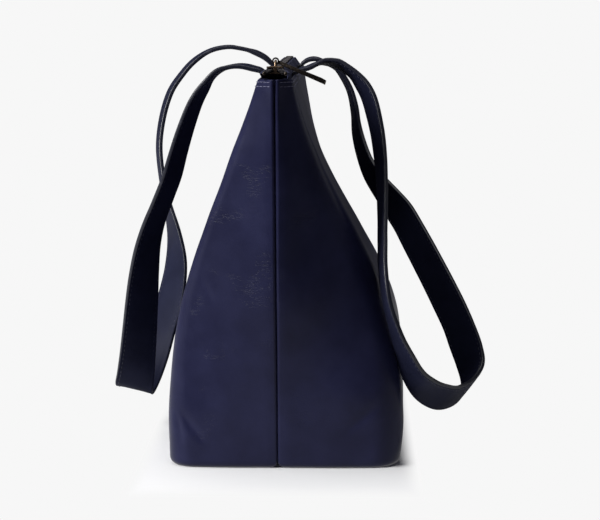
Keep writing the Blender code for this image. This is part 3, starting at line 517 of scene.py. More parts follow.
def build_mesh(name, points, faces, materials, face_slots=None, uv=None):
    """A named object from points and faces, smooth where its faces meet at less than 40 degrees."""
    mesh = bpy.data.meshes.new(name)
    mesh.from_pydata(points, [], faces)
    piece = bpy.data.objects.new(name, mesh)
    bpy.context.collection.objects.link(piece)
    for material in materials:
        mesh.materials.append(material)
    if face_slots:
        mesh.polygons.foreach_set("material_index", face_slots)
    if uv:
        layer = mesh.uv_layers.new(name="UVMap")
        for loop in mesh.loops:
            layer.data[loop.index].uv = uv[loop.vertex_index]
    take(piece)
    edit_all()
    bpy.ops.mesh.normals_make_consistent(inside=False)
    bpy.ops.object.mode_set(mode="OBJECT")
    bpy.ops.object.shade_smooth_by_angle(angle=radians(40))
    piece.select_set(False)
    return piece


def grid_normals(rows, side):
    """Outward direction at each point of a grid of rows."""
    out = []
    last_row = len(rows) - 1
    last = len(rows[0]) - 1
    for r, row in enumerate(rows):
        up = rows[max(r - 1, 0)]
        down = rows[min(r + 1, last_row)]
        line = []
        for c in range(last + 1):
            along = row[min(c + 1, last)] - row[max(c - 1, 0)]
            fall = down[c] - up[c]
            line.append((fall.cross(along) * -side).normalized())
        out.append(line)
    return out


def panel_grid(side, inset, top):
    """Rows of a panel's surface, from the top edge down, under the base and up its lip."""
    rows = []
    count = 100
    for k in range(count + 1):
        z = top + (BASE_ROLL - top) * k / count
        rows.append(body_row(side, z, inset))
    radius = BASE_ROLL - inset
    for turn in (15, 30, 45, 60, 75, 90):
        z = BASE_ROLL - radius * sin(radians(turn))
        rows.append(body_row(side, z, BASE_ROLL - radius * cos(radians(turn))))
    low = rows[-1][0].z
    for step in (1, 2, 3):
        rows.append(body_row(side, low, BASE_ROLL + BASE_TURN * step / 3 - (inset if step == 3 else 0)))
    rows.append(body_row(side, BASE_LIP, BASE_ROLL + BASE_TURN - inset))
    return rows


# Soft dents of the leather, as (side, centre, radii, depth). A minus depth stands out.
DENTS = (
    (-1, (0.205, -0.030, 0.225), (0.030, 0.020, 0.022), 0.0008),
    (-1, (0.200, -0.036, 0.130), (0.030, 0.022, 0.045), 0.0020),
    (-1, (0.195, -0.057, 0.060), (0.030, 0.011, 0.013), -0.0022),
    (-1, (0.195, -0.062, 0.040), (0.030, 0.013, 0.013), 0.0034),
    (-1, (0.195, -0.040, 0.020), (0.030, 0.020, 0.010), 0.0009),
    (1, (0.200, 0.026, 0.122), (0.030, 0.018, 0.024), 0.0030),
    (1, (0.195, 0.062, 0.050), (0.030, 0.030, 0.020), 0.0068),
    (1, (0.195, 0.018, 0.060), (0.030, 0.022, 0.024), -0.0012),
    (1, (0.205, 0.012, 0.210), (0.030, 0.010, 0.025), 0.0006),
)

# Creases that stand up, as (side, start, end, half width, height).
CREASES = (
    (-1, (0.205, -0.069, 0.038), (0.205, -0.055, 0.021), 0.0026, 0.0024),
    (-1, (0.195, -0.0735, 0.036), (0.198, -0.069, 0.014), 0.0018, 0.0018),
    (-1, (0.205, -0.054, 0.138), (0.205, -0.047, 0.124), 0.0014, 0.0005),
    (1, (0.195, 0.070, 0.045), (0.198, 0.050, 0.028), 0.0030, 0.0010),
)


def relief(side, point):
    """How far the leather stands out at a place, from soft dents and slow waves."""
    out = 0.0006 * noise.noise(point * 16) + 0.00025 * noise.noise(point * 45)
    for dent_side, centre, radii, depth in DENTS:
        if dent_side == side:
            away = sum(((point[i] - centre[i]) / radii[i]) ** 2 for i in range(3))
            if away < 6:
                out -= depth * bell(away)
    for crease_side, start, end, half_width, height in CREASES:
        if crease_side == side and point.x > 0.1:
            run = Vector((0, end[1] - start[1], end[2] - start[2]))
            from_start = Vector((0, point.y - start[1], point.z - start[2]))
            along = from_start.dot(run) / run.length_squared
            aside = (from_start - run * along).length / half_width
            if -0.5 < along < 1.5 and aside < 3:
                out += height * bell(aside**2) * bell((along - 0.5) ** 4 * 8)
    return out


def thick_wall(name, outer, inner, lip, materials, uv=None):
    """A sheet of even thickness from two grids of rows that both start at the top, with its rounded
    top edge between them, closed at its lower edge and at both ends."""
    columns = len(outer[0])
    loops = outer[::-1] + lip + inner
    points = [point for row in loops for point in row]
    faces = []
    count = len(loops)
    for r in range(count):
        n = (r + 1) % count
        for c in range(columns - 1):
            faces.append((r * columns + c, r * columns + c + 1, n * columns + c + 1, n * columns + c))
    for c in (0, columns - 1):
        for r in range(len(outer) - 1):
            mirror = count - 1 - r
            faces.append((r * columns + c, (r + 1) * columns + c,
                          (mirror - 1) * columns + c, mirror * columns + c))
        faces.append([r * columns + c for r in range(len(outer) - 1, count - len(outer) + 1)])
    return build_mesh(name, points, faces, materials, uv=uv)


def top_lip(side, inset, thickness, top):
    """Rows of the rounded top edge of a sheet that starts at an inset."""
    lip = []
    for turn in (30, 60, 90, 120, 150):
        plan = body_row(side, min(top, HEIGHT), inset + thickness / 2 * (1 - cos(radians(turn))))
        z = top - thickness / 2 + thickness / 2 * sin(radians(turn))
        lip.append([Vector((point.x, point.y, z)) for point in plan])
    return lip


def make_panel(name, side, material):
    """A body panel of even thickness with a rounded mouth edge. Returns its outer grid."""
    outer = panel_grid(side, 0, HEIGHT - LEATHER / 2)
    inner = panel_grid(side, LEATHER, HEIGHT - LEATHER / 2)
    ways = grid_normals(outer, side)
    columns = len(outer[0])
    for r, row in enumerate(outer):
        ease = min(1, r / 8) * min(1, max(0, 100 - r) / 12)
        for c in range(columns):
            edge = smooth_step(min(c, columns - 1 - c) / 16)
            move = ways[r][c] * (relief(side, row[c]) * ease * edge)
            row[c] = row[c] + move
            inner[r][c] = inner[r][c] + move
    piece = thick_wall(name + "_finished", outer, inner, top_lip(side, 0, LEATHER, HEIGHT), [material])
    settle(piece, name)
    return outer, ways


# Inset of each layer between the panel and the inside of the mouth, from the outer surface.
TAB_INSET = LEATHER + CLEARANCE
TAPE_INSET = TAB_INSET + STRAP_SKIVE + CLEARANCE
FACING_INSET = TAPE_INSET + TAPE + CLEARANCE


def make_facing(name, side, material):
    """The strip of leather inside the mouth."""
    top = HEIGHT - CLEARANCE
    outer = []
    inner = []
    for k in range(21):
        z = top - FACING / 2 - (FACING_HEIGHT - FACING / 2) * k / 20
        outer.append(body_row(side, z, FACING_INSET))
        inner.append(body_row(side, z, FACING_INSET + FACING))
    lip = top_lip(side, FACING_INSET, FACING, top)
    piece = thick_wall(name + "_finished", outer, inner, lip, [material])
    settle(piece, name)


def ring(z, inset, share=1.0):
    """Closed plan of the whole body at a height. A share under 1 draws it in towards the middle."""
    front = open_row(-1, z, inset)
    back = open_row(1, z, inset)
    return [Vector((point.x * share, point.y * share, z)) for point in front + back[::-1]]


def run_along(points):
    """Length of the line from its first point to each of its points."""
    run = [0]
    for before, after in zip(points, points[1:]):
        run.append(run[-1] + (after - before).length)
    return run


def add_rings(points, faces, rings):
    """Add a tube through equal rings, with a flat end on the first and the last."""
    first = len(points)
    count = len(rings[0])
    for one in rings:
        points += one
    for r in range(len(rings) - 1):
        for k in range(count):
            n = (k + 1) % count
            a = first + r * count
            faces.append((a + k, a + n, a + count + n, a + count + k))
    faces.append([first + k for k in range(count)][::-1])
    faces.append([first + (len(rings) - 1) * count + k for k in range(count)])


def ring_piece(name, rings, material, with_map=False):
    """A closed piece through rings of the body's plan."""
    points = []
    faces = []
    add_rings(points, faces, rings)
    uv = None
    if with_map:
        rise = run_along([one[0] for one in rings])
        uv = [(girth, run) for one, run in zip(rings, rise) for girth in run_along(one)]
    piece = build_mesh(name + "_finished", points, faces, [material], uv=uv)
    settle(piece, name)
    return piece


def make_base(leather, fibre):
    """The leather pan between the panels' turned-up edges, and the board that lies in it."""
    outside = BASE_ROLL + BASE_TURN + CLEARANCE
    inside = outside + LEATHER
    middle = (outside + inside) / 2
    lip = BASE_LIP - PAN_ROUND
    rings = [ring(0, outside, share) for share in FLOOR_SHARES]
    rings += [ring(0, outside + PAN_ROUND), ring(PAN_ROUND, outside), ring(lip, outside)]
    rings += [ring(BASE_LIP, middle), ring(lip, inside), ring(LEATHER + PAN_ROUND, inside)]
    rings.append(ring(LEATHER, inside + PAN_ROUND))
    rings += [ring(LEATHER, inside, share) for share in FLOOR_SHARES[::-1]]
    ring_piece("base_panel", rings, leather)
    low = LEATHER + CLEARANCE
    high = low + BOARD
    edge = inside + CLEARANCE
    rings = [ring(low, edge, share) for share in FLOOR_SHARES]
    rings += [ring(low, edge + BOARD_ROUND), ring(low + BOARD_ROUND, edge)]
    rings += [ring(high - BOARD_ROUND, edge), ring(high, edge + BOARD_ROUND)]
    rings += [ring(high, edge, share) for share in FLOOR_SHARES[::-1]]
    ring_piece("base_board", rings, fibre)


def make_lining(material):
    """A cloth cup inside the panels, from over the base seam to behind the facings."""
    gap = LEATHER + 2 * CLEARANCE
    floor = max(BASE_LIP, LEATHER + CLEARANCE + BOARD) + CLEARANCE
    top = HEIGHT - FACING_HEIGHT + LINING_UNDER_FACING
    rows = {}
    for wall in (0, LINING):
        radius = LINING_CORNER - wall
        rows[wall] = [ring(floor + wall, gap + LINING_CORNER, share) for share in FLOOR_SHARES]
        for turn in (90, 70, 45, 20):
            z = floor + LINING_CORNER - radius * sin(radians(turn))
            rows[wall].append(ring(z, gap + LINING_CORNER - radius * cos(radians(turn))))
        for k in range(41):
            z = floor + LINING_CORNER + (top - floor - LINING_CORNER) * k / 40
            rows[wall].append(ring(z, gap + wall))
    piece = ring_piece("lining", rows[0] + rows[LINING][::-1], material, True)


# Zip

def spread(x):
    """How far a row of teeth has moved outward from its closed place."""
    return max(0, x - SPREAD_START) * CHAIN_SPREAD


def drop(x):
    """Fall of the parted rows beyond the slider."""
    return LOOSE_DROP * min(1, max(0, x - FIRST_LOOSE) / (LOOSE_TEETH * TOOTH_PITCH)) ** 1.5


def tooth_starts(side):
    """Where each tooth of a row begins. The two rows are half a pitch apart."""
    start = -CHAIN_HALF_LENGTH + (0 if side > 0 else TOOTH_PITCH / 2)
    end = FIRST_LOOSE + (LOOSE_TEETH - 2) * TOOTH_PITCH
    return [start + k * TOOTH_PITCH for k in range(int((end - start) / TOOTH_PITCH))]


def shaped_block(place, size, narrow_tip, bevel):
    """A block that narrows towards -Y, with bevelled edges."""
    bpy.ops.object.select_all(action="DESELECT")
    bpy.ops.mesh.primitive_cube_add(size=1, location=place, scale=size)
    block = bpy.context.object
    bpy.ops.object.transform_apply(location=True, rotation=True, scale=True)
    edit_chosen("FACE", block.data.polygons, lambda face: face.normal.y < -0.9)
    bpy.ops.transform.resize(value=(narrow_tip, 1, narrow_tip), center_override=tuple(place))
    bpy.ops.mesh.select_all(action="SELECT")
    bpy.ops.mesh.bevel(offset=bevel, segments=1)
    bpy.ops.object.mode_set(mode="OBJECT")
    return block


def join_all(pieces, name):
    bpy.ops.object.select_all(action="DESELECT")
    for piece in pieces:
        piece.select_set(True)
    bpy.context.view_layer.objects.active = pieces[0]
    bpy.ops.object.join()
    joined = bpy.context.object
    joined.name = name
    joined.data.name = name
    return joined


def make_tooth():
    """One tooth at the origin: a nose that reaches past the middle, and jaws round the cord."""
    reach = CHAIN_HALF_WIDTH - 2 * CORD_RADIUS + TOOTH_REACH
    nose = shaped_block((0, reach / 2 - TOOTH_REACH, 0),
                        (TOOTH_WIDTH, reach, 1.5 * TOOTH_HALF_HEIGHT), 0.82, 0.00022)
    jaws = shaped_block((0, CHAIN_HALF_WIDTH - CORD_RADIUS, 0),
                        (TOOTH_WIDTH * 1.1, 2.0 * CORD_RADIUS, 2 * TOOTH_HALF_HEIGHT), 0.9, 0.00032)
    return join_all([nose, jaws], "tooth")


def make_teeth(name, side, tooth, material):
    """A row of teeth, each a copy of one tooth, turned with the row where it parts and falls."""
    copies = []
    for x in tooth_starts(side):
        middle = x + TOOTH_WIDTH / 2
        mesh = tooth.data.copy()
        turn = Matrix.Identity(4)
        if middle > FIRST_LOOSE:
            slope = (drop(middle + TOOTH_PITCH) - drop(middle)) / TOOTH_PITCH
            turn = (Matrix.Rotation(side * atan(CHAIN_SPREAD), 4, "Z")
                    @ Matrix.Rotation(atan(slope), 4, "Y"))
        flip = Matrix.Diagonal((side, side, 1, 1))
        place = Matrix.Translation((middle, side * spread(middle), CHAIN_Z - drop(middle)))
        mesh.transform(place @ turn @ flip)
        one = bpy.data.objects.new(name, mesh)
        bpy.context.collection.objects.link(one)
        copies.append(one)
    row = join_all(copies, name + "_finished")
    row.data.materials.clear()
    row.data.materials.append(material)
    bpy.ops.object.shade_smooth_by_angle(angle=radians(30))
    settle(row, name)
    return row


def tube(name, line, radius, material):
    """A round cord along a line of points, with its own map."""
    points = []
    faces = []
    uv = []
    rings = []
    for k, (point, run) in enumerate(zip(line, run_along(line))):
        way = (line[min(k + 1, len(line) - 1)] - line[max(k - 1, 0)]).normalized()
        across = way.cross(Vector((0, 0, 1))).normalized()
        up = across.cross(way)
        rings.append([point + across * (radius * cos(pi * i / 5)) + up * (radius * sin(pi * i / 5))
                      for i in range(10)])
        uv += [(radius * pi * i / 5, run) for i in range(10)]
    add_rings(points, faces, rings)
    return build_mesh(name, points, faces, [material], uv=uv)


def make_tape(word, side, material):
    """Woven tape from its corded edge over the mouth edge and down behind the facing."""
    start = -CHAIN_HALF_LENGTH - BOTTOM_STOP_LENGTH
    end = TAPE_END
    heights = [HEIGHT - TAPE_HEIGHT * k / 6 for k in range(7)]
    plans = [open_row(side, z, 0) for z in heights]
    rows = {0: [], TAPE: []}
    uv = []
    count = 130
    for wall in rows:
        for k in range(count + 1):
            x = start + (end - start) * k / count
            edge = CHAIN_HALF_WIDTH + spread(x) + CLEARANCE
            lip = MOUTH_HALF_DEPTH - TAPE_INSET - wall
            level = CHAIN_Z + TAPE / 2 - wall - drop(x)
            line = [(edge, level), (edge + TAPE_LEVEL, level)]
            bent = (lip, HEIGHT + CLEARANCE + TAPE - wall)
            line += [((1 - s) * line[1][0] + s * bent[0], (1 - s) * line[1][1] + s * bent[1])
                     for s in (0.33, 0.67)]
            line.append(bent)
            line += [(depth_on(plan, x) - TAPE_INSET - wall, z) for plan, z in zip(plans, heights)]
            rows[wall].append([Vector((x, side * depth, z)) for depth, z in line])
    for row in rows[0][::-1] + rows[TAPE]:
        uv += [(run, point.x) for run, point in zip(run_along(row), row)]
    piece = thick_wall("zip_tape_" + word + "_finished", rows[0], rows[TAPE], [], [material], uv)
    edge_line = []
    end_of_teeth = tooth_starts(side)[-1] + TOOTH_WIDTH
    for k in range(221):
        x = start + (end_of_teeth - start) * k / 220
        away = CHAIN_HALF_WIDTH - CORD_RADIUS + spread(x)
        edge_line.append(Vector((x, side * away, CHAIN_Z - drop(x))))
    cord = tube("zip_cord_" + word, edge_line, CORD_RADIUS, material)
    settle(piece, "zip_tape_" + word)
    settle(cord, "zip_teeth_" + word)


def depth_on(plan, x):
    """Depth of a row of the body from the middle plane, at a place along the bag."""
    start, end = next((a, b) for a, b in zip(plan, plan[1:]) if b.x <= x <= a.x)
    return abs(start.y + (end.y - start.y) * (x - start.x) / (end.x - start.x))


def face_depth(side, x, z):
    return depth_on(open_row(side, z, 0), x)


def make_stop(name, low, high, material):
    """A small pressed metal block with rounded edges, between two corners."""
    middle = [(a + b) / 2 for a, b in zip(low, high)]
    size = [abs(b - a) for a, b in zip(low, high)]
    stop = shaped_block(middle, size, 1.0, 0.0004)
    stop.name = name + "_finished"
    stop.data.materials.append(material)
    bpy.ops.object.shade_smooth_by_angle(angle=radians(50))
    settle(stop, name)


def make_stops(material):
    for name, side in (("zip_top_stop_front", -1), ("zip_top_stop_back", 1)):
        x = tooth_starts(side)[-1] + TOOTH_WIDTH + CLEARANCE
        low = CHAIN_HALF_WIDTH - 2 * CORD_RADIUS - TOOTH_REACH + spread(x)
        high = CHAIN_HALF_WIDTH + spread(x)
        z = CHAIN_Z - drop(x)
        make_stop(name, (x, side * low, z - TOOTH_HALF_HEIGHT),
                  (x + TOP_STOP_LENGTH, side * high, z + TOOTH_HALF_HEIGHT), material)
    x = -CHAIN_HALF_LENGTH - CLEARANCE
    make_stop("zip_bottom_stop", (x - BOTTOM_STOP_LENGTH, -CHAIN_HALF_WIDTH, CHAIN_Z - TOOTH_HALF_HEIGHT),
              (x, CHAIN_HALF_WIDTH, CHAIN_Z + TOOTH_HALF_HEIGHT), material)


def merged_copy(name, materials):
    """A copy of a CAD solid with its triangles merged to flat faces."""
    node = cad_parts[name]
    mesh = node.data.copy()
    mesh.transform(node.matrix_world)
    mesh.materials.clear()
    piece = bpy.data.objects.new(name + "_finished", mesh)
    bpy.context.collection.objects.link(piece)
    for material in materials:
        mesh.materials.append(material)
    take(piece)
    edit_all()
    bpy.ops.mesh.remove_doubles(threshold=1e-6)
    bpy.ops.mesh.dissolve_limited(angle_limit=radians(1))
    bpy.ops.object.mode_set(mode="OBJECT")
    return piece


def round_edges(piece, bevel, segments):
    take(piece)
    rounding = piece.modifiers.new("rounding", "BEVEL")
    rounding.width = bevel
    rounding.segments = segments
    rounding.limit_method = "ANGLE"
    rounding.angle_limit = radians(32)
    bpy.ops.object.modifier_apply(modifier="rounding")
    bpy.ops.object.shade_smooth_by_angle(angle=radians(35))


def finish_slider(metal, rubbed):
    """The CAD slider with rounded edges. Its bridge and post are rubbed bright."""
    slider = merged_copy("zip_slider", [metal, rubbed])
    round_edges(slider, 0.00022, 2)
    for face in slider.data.polygons:
        post = abs(face.center.y) < 0.0017 and face.center.z > CHAIN_Z - 0.0016
        face.material_index = 1 if post or face.center.z > SLIDER_TOP + 0.0002 else 0
    settle(slider, "zip_slider", "slider")


def finish_pull(metal):
    """The CAD pull, a little deeper towards its tip, with a slot near the tip and rounded edges."""
    pull = merged_copy("zip_pull", [metal])
    tip = max((corner.co for corner in pull.data.vertices), key=lambda at: at.y).copy()
    low = min(corner.co.z for corner in pull.data.vertices)
    centre = Vector((SLIDER_X, tip.y, (tip.z + low) / 2))
    edit_chosen("VERT", pull.data.vertices, lambda corner: corner.co.y > tip.y - PULL_END)
    bpy.ops.transform.resize(value=(1, 1, PULL_TIP_DEPTH), center_override=centre)
    bpy.ops.object.mode_set(mode="OBJECT")
    round_edges(pull, 0.00035, 2)
    settle(pull, "zip_pull", "pull")


def edge_stitches(word, outer, ways, material):
    """Rows of stitches round the mouth, through panel, tape and facing."""
    points = []
    faces = []
    spacing = outer[0][0].z - outer[1][0].z
    for below in EDGE_STITCHES:
        place = (below - LEATHER / 2) / spacing
        r = int(place)
        share = place - r
        line = [a.lerp(b, share) for a, b in zip(outer[r], outer[r + 1])]
        facing = ways[r]
        run = 0
        due = 0.0004
        for c in range(SEAM_POINTS, len(line) - SEAM_POINTS - 1):
            step = (line[c + 1] - line[c]).length
            while due < run + step:
                s = (due - run) / step
                at = line[c].lerp(line[c + 1], s)
                way = (line[c + 1] - line[c]).normalized()
                out = facing[c].lerp(facing[c + 1], s).normalized()
                add_rings(points, faces, stitch_rings(at + out * EDGE_STITCH_LIFT, way, out))
                due += EDGE_PITCH
            run += step
    piece = build_mesh(word + "_mouth_stitches", points, faces, [material])
    settle(piece, word + "_panel")


# Handles

def placed(side, route):
    """Route rows as (point, width direction), for the front or the back."""
    stations = []
    for share, outward, up, wide_x, wide_out, wide_up in route:
        point = Vector((share * STRAP_HALF_SPACING, side * (MOUTH_HALF_DEPTH + outward), HEIGHT + up))
        stations.append((point, Vector((wide_x, side * wide_out, wide_up)).normalized()))
    return stations


def blend(a, b, c, d, s):
    """Point of the Catmull-Rom curve between b and c."""
    return 0.5 * (2 * b + (c - a) * s + (2 * a - 5 * b + 4 * c - d) * s**2 + (3 * b - a - 3 * c + d) * s**3)


def square(width, travel):
    """Width direction made square to the travel direction."""
    return (width - travel * width.dot(travel)).normalized()


def strap_line(stations):
    """Point, travel and width direction along a smooth strap, at even steps.

    The second list is each station's place in the first."""
    points = [point for point, width in stations]
    widths = [width for point, width in stations]
    points = [2 * points[0] - points[1], *points, 2 * points[-1] - points[-2]]
    widths = [widths[0], *widths, widths[-1]]
    route = []
    places = []
    for k in range(1, len(points) - 2):
        steps = ceil((points[k + 1] - points[k]).length / STRAP_STEP)
        places.append(len(route))
        for s in range(steps):
            route.append((blend(*points[k - 1:k + 3], s / steps), blend(*widths[k - 1:k + 3], s / steps)))
    places.append(len(route))
    route.append((points[-2], widths[-2]))
    line = []
    for k, (point, width) in enumerate(route):
        travel = (route[min(k + 1, len(route) - 1)][0] - route[max(k - 1, 0)][0]).normalized()
        line.append((point, travel, square(width, travel), STRAP_THICKNESS))
    return line, places


def lay_on_hinge(line, near, far, most):
    """Turn the strap near two places so that its width comes nearer to the line through both."""
    axis = (line[near][0] - line[far][0]).normalized()
    for place in (near, far):
        for k in range(max(place - 4, 0), min(place + 5, len(line))):
            point, travel, width, thickness = line[k]
            share = most * (1 - smooth_step(abs(k - place) / 5))
            width = width.lerp(axis if width.dot(axis) > 0 else -axis, share)
            line[k] = (point, travel, square(width, travel), thickness)


def strap_section(point, travel, width, thickness):
    """Section of a strap: flat faces with a slight crown, dipped stitch lines, round edges."""
    face = width.cross(travel).normalized()
    half = thickness / 2
    edge = min(STRAP_EDGE, half * 0.7)
    side = STRAP_WIDTH / 2
    stitch = side - STITCH_INSET
    crown = STRAP_CROWN * thickness / STRAP_THICKNESS
    top = [(stitch, half - crown), (stitch - STITCH_DIP, half), (side * 0.5, half + crown / 2)]
    top += [(0, half + crown)] + [(-x, y) for x, y in top[::-1]]
    round_up = [(side - edge + edge * cos(radians(a)), half - edge + edge * sin(radians(a)))
                for a in (0, 30, 60, 90)]
    round_down = [(-x, y) for x, y in round_up[::-1]]
    upper = round_up + top + round_down
    profile = upper + [(-x, -y) for x, y in upper]
    ring = [point + width * across + face * up for across, up in profile]
    return ring, [across for across, up in profile]


def stitch_rings(place, way, out):
    """Rings of a short raised stitch that dives into the leather at both ends."""
    rings = []
    wide = way.cross(out).normalized()
    for s, sink, size in STITCH_SHAPE:
        middle = place + way * (STITCH_LENGTH * s) + out * (STITCH_RADIUS * sink)
        rings.append([middle + wide * (STITCH_RADIUS * size * cos(pi * k / 3))
                      + out * (STITCH_RADIUS * size * sin(pi * k / 3)) for k in range(6)])
    return rings


def strap_piece(name, line, start, end, materials, sewn_from):
    """Closed strap between two places of its line, with its stitches on both faces."""
    rings = []
    uv = []
    run = run_along([station[0] for station in line])
    for k in range(start, end + 1):
        ring, across = strap_section(*line[k])
        rings.append(ring)
        uv += [(value, run[k]) for value in across]
    points = []
    faces = []
    add_rings(points, faces, rings)
    count = len(across)
    painted = [min(abs(across[k]), abs(across[(k + 1) % count])) > STRAP_WIDTH / 2 - PAINT_DEPTH
               for k in range(count)]
    slots = [int(is_painted) for is_painted in painted] * (end - start) + [0, 0]

    due = max(0, ceil((run[start] - run[sewn_from]) / STITCH_PITCH))
    at = run[sewn_from] + due * STITCH_PITCH
    k = start
    while at + STITCH_LENGTH < run[end]:
        while run[k + 1] < at:
            k += 1
        share = (at - run[k]) / (run[k + 1] - run[k])
        point = line[k][0].lerp(line[k + 1][0], share)
        travel = line[k][1].lerp(line[k + 1][1], share).normalized()
        width = line[k][2].lerp(line[k + 1][2], share).normalized()
        thickness = line[k][3] + (line[k + 1][3] - line[k][3]) * share
        face = width.cross(travel).normalized()
        for across in (STRAP_WIDTH / 2 - STITCH_INSET, STITCH_INSET - STRAP_WIDTH / 2):
            for up in (1, -1):
                place = point + width * across + face * (up * (thickness / 2 - STITCH_SINK))
                more = len(faces)
                add_rings(points, faces, stitch_rings(place, travel, face * up))
                slots += [2] * (len(faces) - more)
        at += STITCH_PITCH
    uv += [(0, 0)] * (len(points) - len(uv))
    return build_mesh(name, points, faces, materials, slots, uv)


def tab_line(side, hinge, out_of_bag):
    """The thinned strap end from behind the panel edge, over it, and up to the root hinge."""
    point, travel, width, full = hinge
    travel = travel * out_of_bag
    stop = point - travel * (STRAP_THICKNESS / 2 + CLEARANCE)
    out = abs(stop.y) - MOUTH_HALF_DEPTH
    up = stop.z - HEIGHT
    inset = LEATHER + CLEARANCE
    path = []
    for k in range(7):
        z = HEIGHT - STRAP_SEWN + STRAP_SEWN * k / 6
        path.append((face_depth(side, stop.x, z) - inset - STRAP_SKIVE / 2, z, STRAP_SKIVE))
    over = [(-inset, STRAP_THICKNESS / 2, STRAP_THICKNESS / 2)]
    over += [(out * way, max(up * rise, TAB_LIFT * STRAP_THICKNESS * thick), STRAP_THICKNESS * thick)
             for way, rise, thick in TAB_OVER]
    path += [(MOUTH_HALF_DEPTH + outward, HEIGHT + rise, thickness) for outward, rise, thickness in over]
    corners = [Vector((depth, z, thickness)) for depth, z, thickness in path]
    corners.append(Vector((abs(stop.y), stop.z, full)))
    corners = [2 * corners[0] - corners[1], *corners, Vector((abs(point.y), point.z, full))]
    fine = []
    for k in range(1, len(corners) - 2):
        for s in range(4):
            fine.append(blend(*corners[k - 1:k + 3], s / 4))
    fine.append(corners[-2])
    line = []
    count = len(fine)
    for k, spot in enumerate(fine):
        ahead = fine[min(k + 1, count - 1)] - fine[max(k - 1, 0)]
        way = Vector((0, side * ahead.x, ahead.y)).normalized()
        if k > count - 3:
            way = travel
        straight = Vector((1 if width.x > 0 else -1, 0, 0))
        across = straight.lerp(width, smooth_step((k - count * TAB_TURN) / (count * (1 - TAB_TURN))))
        line.append((Vector((stop.x, side * spot.x, spot.y)), way, square(across, way), spot.z))
    return line


def ease(line, first, last):
    """Take small wiggles out of a stretch of strap, and arch it over its hinge."""
    for k in range(first, last + 1):
        point = line[k][0]
        out = (abs(point.y) - MOUTH_HALF_DEPTH - ROOT_RISE_AT) / ROOT_RISE_REACH
        clear = smooth_step((point.z - HEIGHT) / 0.004 + 1)
        line[k] = (point + Vector((0, 0, ROOT_RISE * clear * bell(out**2))), *line[k][1:])
    for _ in range(ROOT_SMOOTHING):
        points = [station[0] for station in line]
        for k in range(first, last + 1):
            point = points[k].lerp((points[k - 1] + points[k + 1]) / 2, 0.5)
            line[k] = (point, *line[k][1:])
    for k in range(first, last + 1):
        point, travel, width, thickness = line[k]
        travel = (line[k + 1][0] - line[k - 1][0]).normalized()
        line[k] = (point, travel, square(width, travel), thickness)


def make_handle(word, side, near, far, route, materials):
    """One strap in five pieces: two at the roots, two at the arch's ends, and the loop."""
    line, places = strap_line(placed(side, near + route + far[::-1]))
    near_bend = places[len(near) - 1]
    far_bend = places[-len(far)]
    last = len(line) - 1
    lay_on_hinge(line, 0, last, 1)
    lay_on_hinge(line, near_bend, far_bend, BEND_LAY)
    near_tab = tab_line(side, line[0], 1)
    far_tab = [(point, -travel, width, thickness)
               for point, travel, width, thickness in tab_line(side, line[-1], -1)[::-1]]
    full = near_tab + line + far_tab
    root = len(near_tab)
    ease(full, root - EASED_RINGS - 1, root + EASED_RINGS)
    ease(full, root + last - EASED_RINGS, root + last + EASED_RINGS + 1)
    stations = {
        "near_root": root, "near_bend": root + near_bend,
        "far_bend": root + far_bend, "far_root": root + last}
    near_middle = (stations["near_root"] + stations["near_bend"]) // 2
    far_middle = (stations["far_root"] + stations["far_bend"]) // 2
    sewn_from = root - SEWN_RINGS
    cuts = (0, near_middle, stations["near_bend"] + BEND_RINGS, stations["far_bend"] - BEND_RINGS,
            far_middle, len(full) - 1)
    names = ("near_root", "near_bend", "loop", "far_bend", "far_root")
    pieces = {}
    for name, start, end in zip(names, cuts, cuts[1:]):
        pieces[name] = strap_piece(f"{word}_handle_{name}", full, start, end, materials, sewn_from)
    arch = word + "_arch"
    loop = word + "_loop"
    bends = (("root", 2, "bag", arch, "tab"), ("bend", 3, arch, loop, "arch"))
    for tip, way in (("near", 1), ("far", -1)):
        for bend, span, low, high, solid in bends:
            name = f"{tip}_{bend}"
            place = stations[name]
            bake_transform(pieces[name], low, high, start=full[place - way * span][0],
                     end=full[place + way * span][0])
            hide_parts(f"{word}_strap_{solid}_{tip}")
    settle(pieces["loop"], word + "_strap_loop", loop)


body_leather = leather_finish("navy_body_leather", colour(0.0115, 0.0122, 0.036),
                              colour(0.0175, 0.0188, 0.053), 0.30, 0.12)
strap_leather = leather_finish("navy_strap_leather", colour(0.0096, 0.0108, 0.0245),
                               colour(0.0150, 0.0168, 0.0375), 0.46, 0.06, "UV")
edge_paint = paint_finish("edge_paint")
strap_thread = thread_finish("strap_thread", colour(0.016, 0.018, 0.038), colour(0.055, 0.057, 0.090))
mouth_thread = thread_finish("mouth_thread", colour(0.09, 0.09, 0.15), colour(0.20, 0.20, 0.30))
lining_cloth = weave_finish("lining_cloth_weave", colour(0.012, 0.013, 0.024),
                            colour(0.030, 0.032, 0.052), 0.0008, 0.0)
tape_cloth = weave_finish("zip_tape_weave", colour(0.010, 0.012, 0.034),
                          colour(0.030, 0.034, 0.084), 0.0006, 1.0)
fibre = board_finish("pressed_fibre")
gunmetal = metal_finish("dark_bronze", colour(0.055, 0.045, 0.038), colour(0.16, 0.13, 0.10), 0.30)
brass = metal_finish("rubbed_bronze", colour(0.16, 0.11, 0.07), colour(0.42, 0.30, 0.19), 0.28)
teeth_metal = metal_finish("tooth_metal", colour(0.045, 0.042, 0.045), colour(0.14, 0.13, 0.125), 0.34)

for word, side in (("front", -1), ("back", 1)):
    outer, ways = make_panel(word + "_panel", side, body_leather)
    edge_stitches(word, outer, ways, mouth_thread)
    make_facing(word + "_facing", side, body_leather)
make_base(body_leather, fibre)
make_lining(lining_cloth)

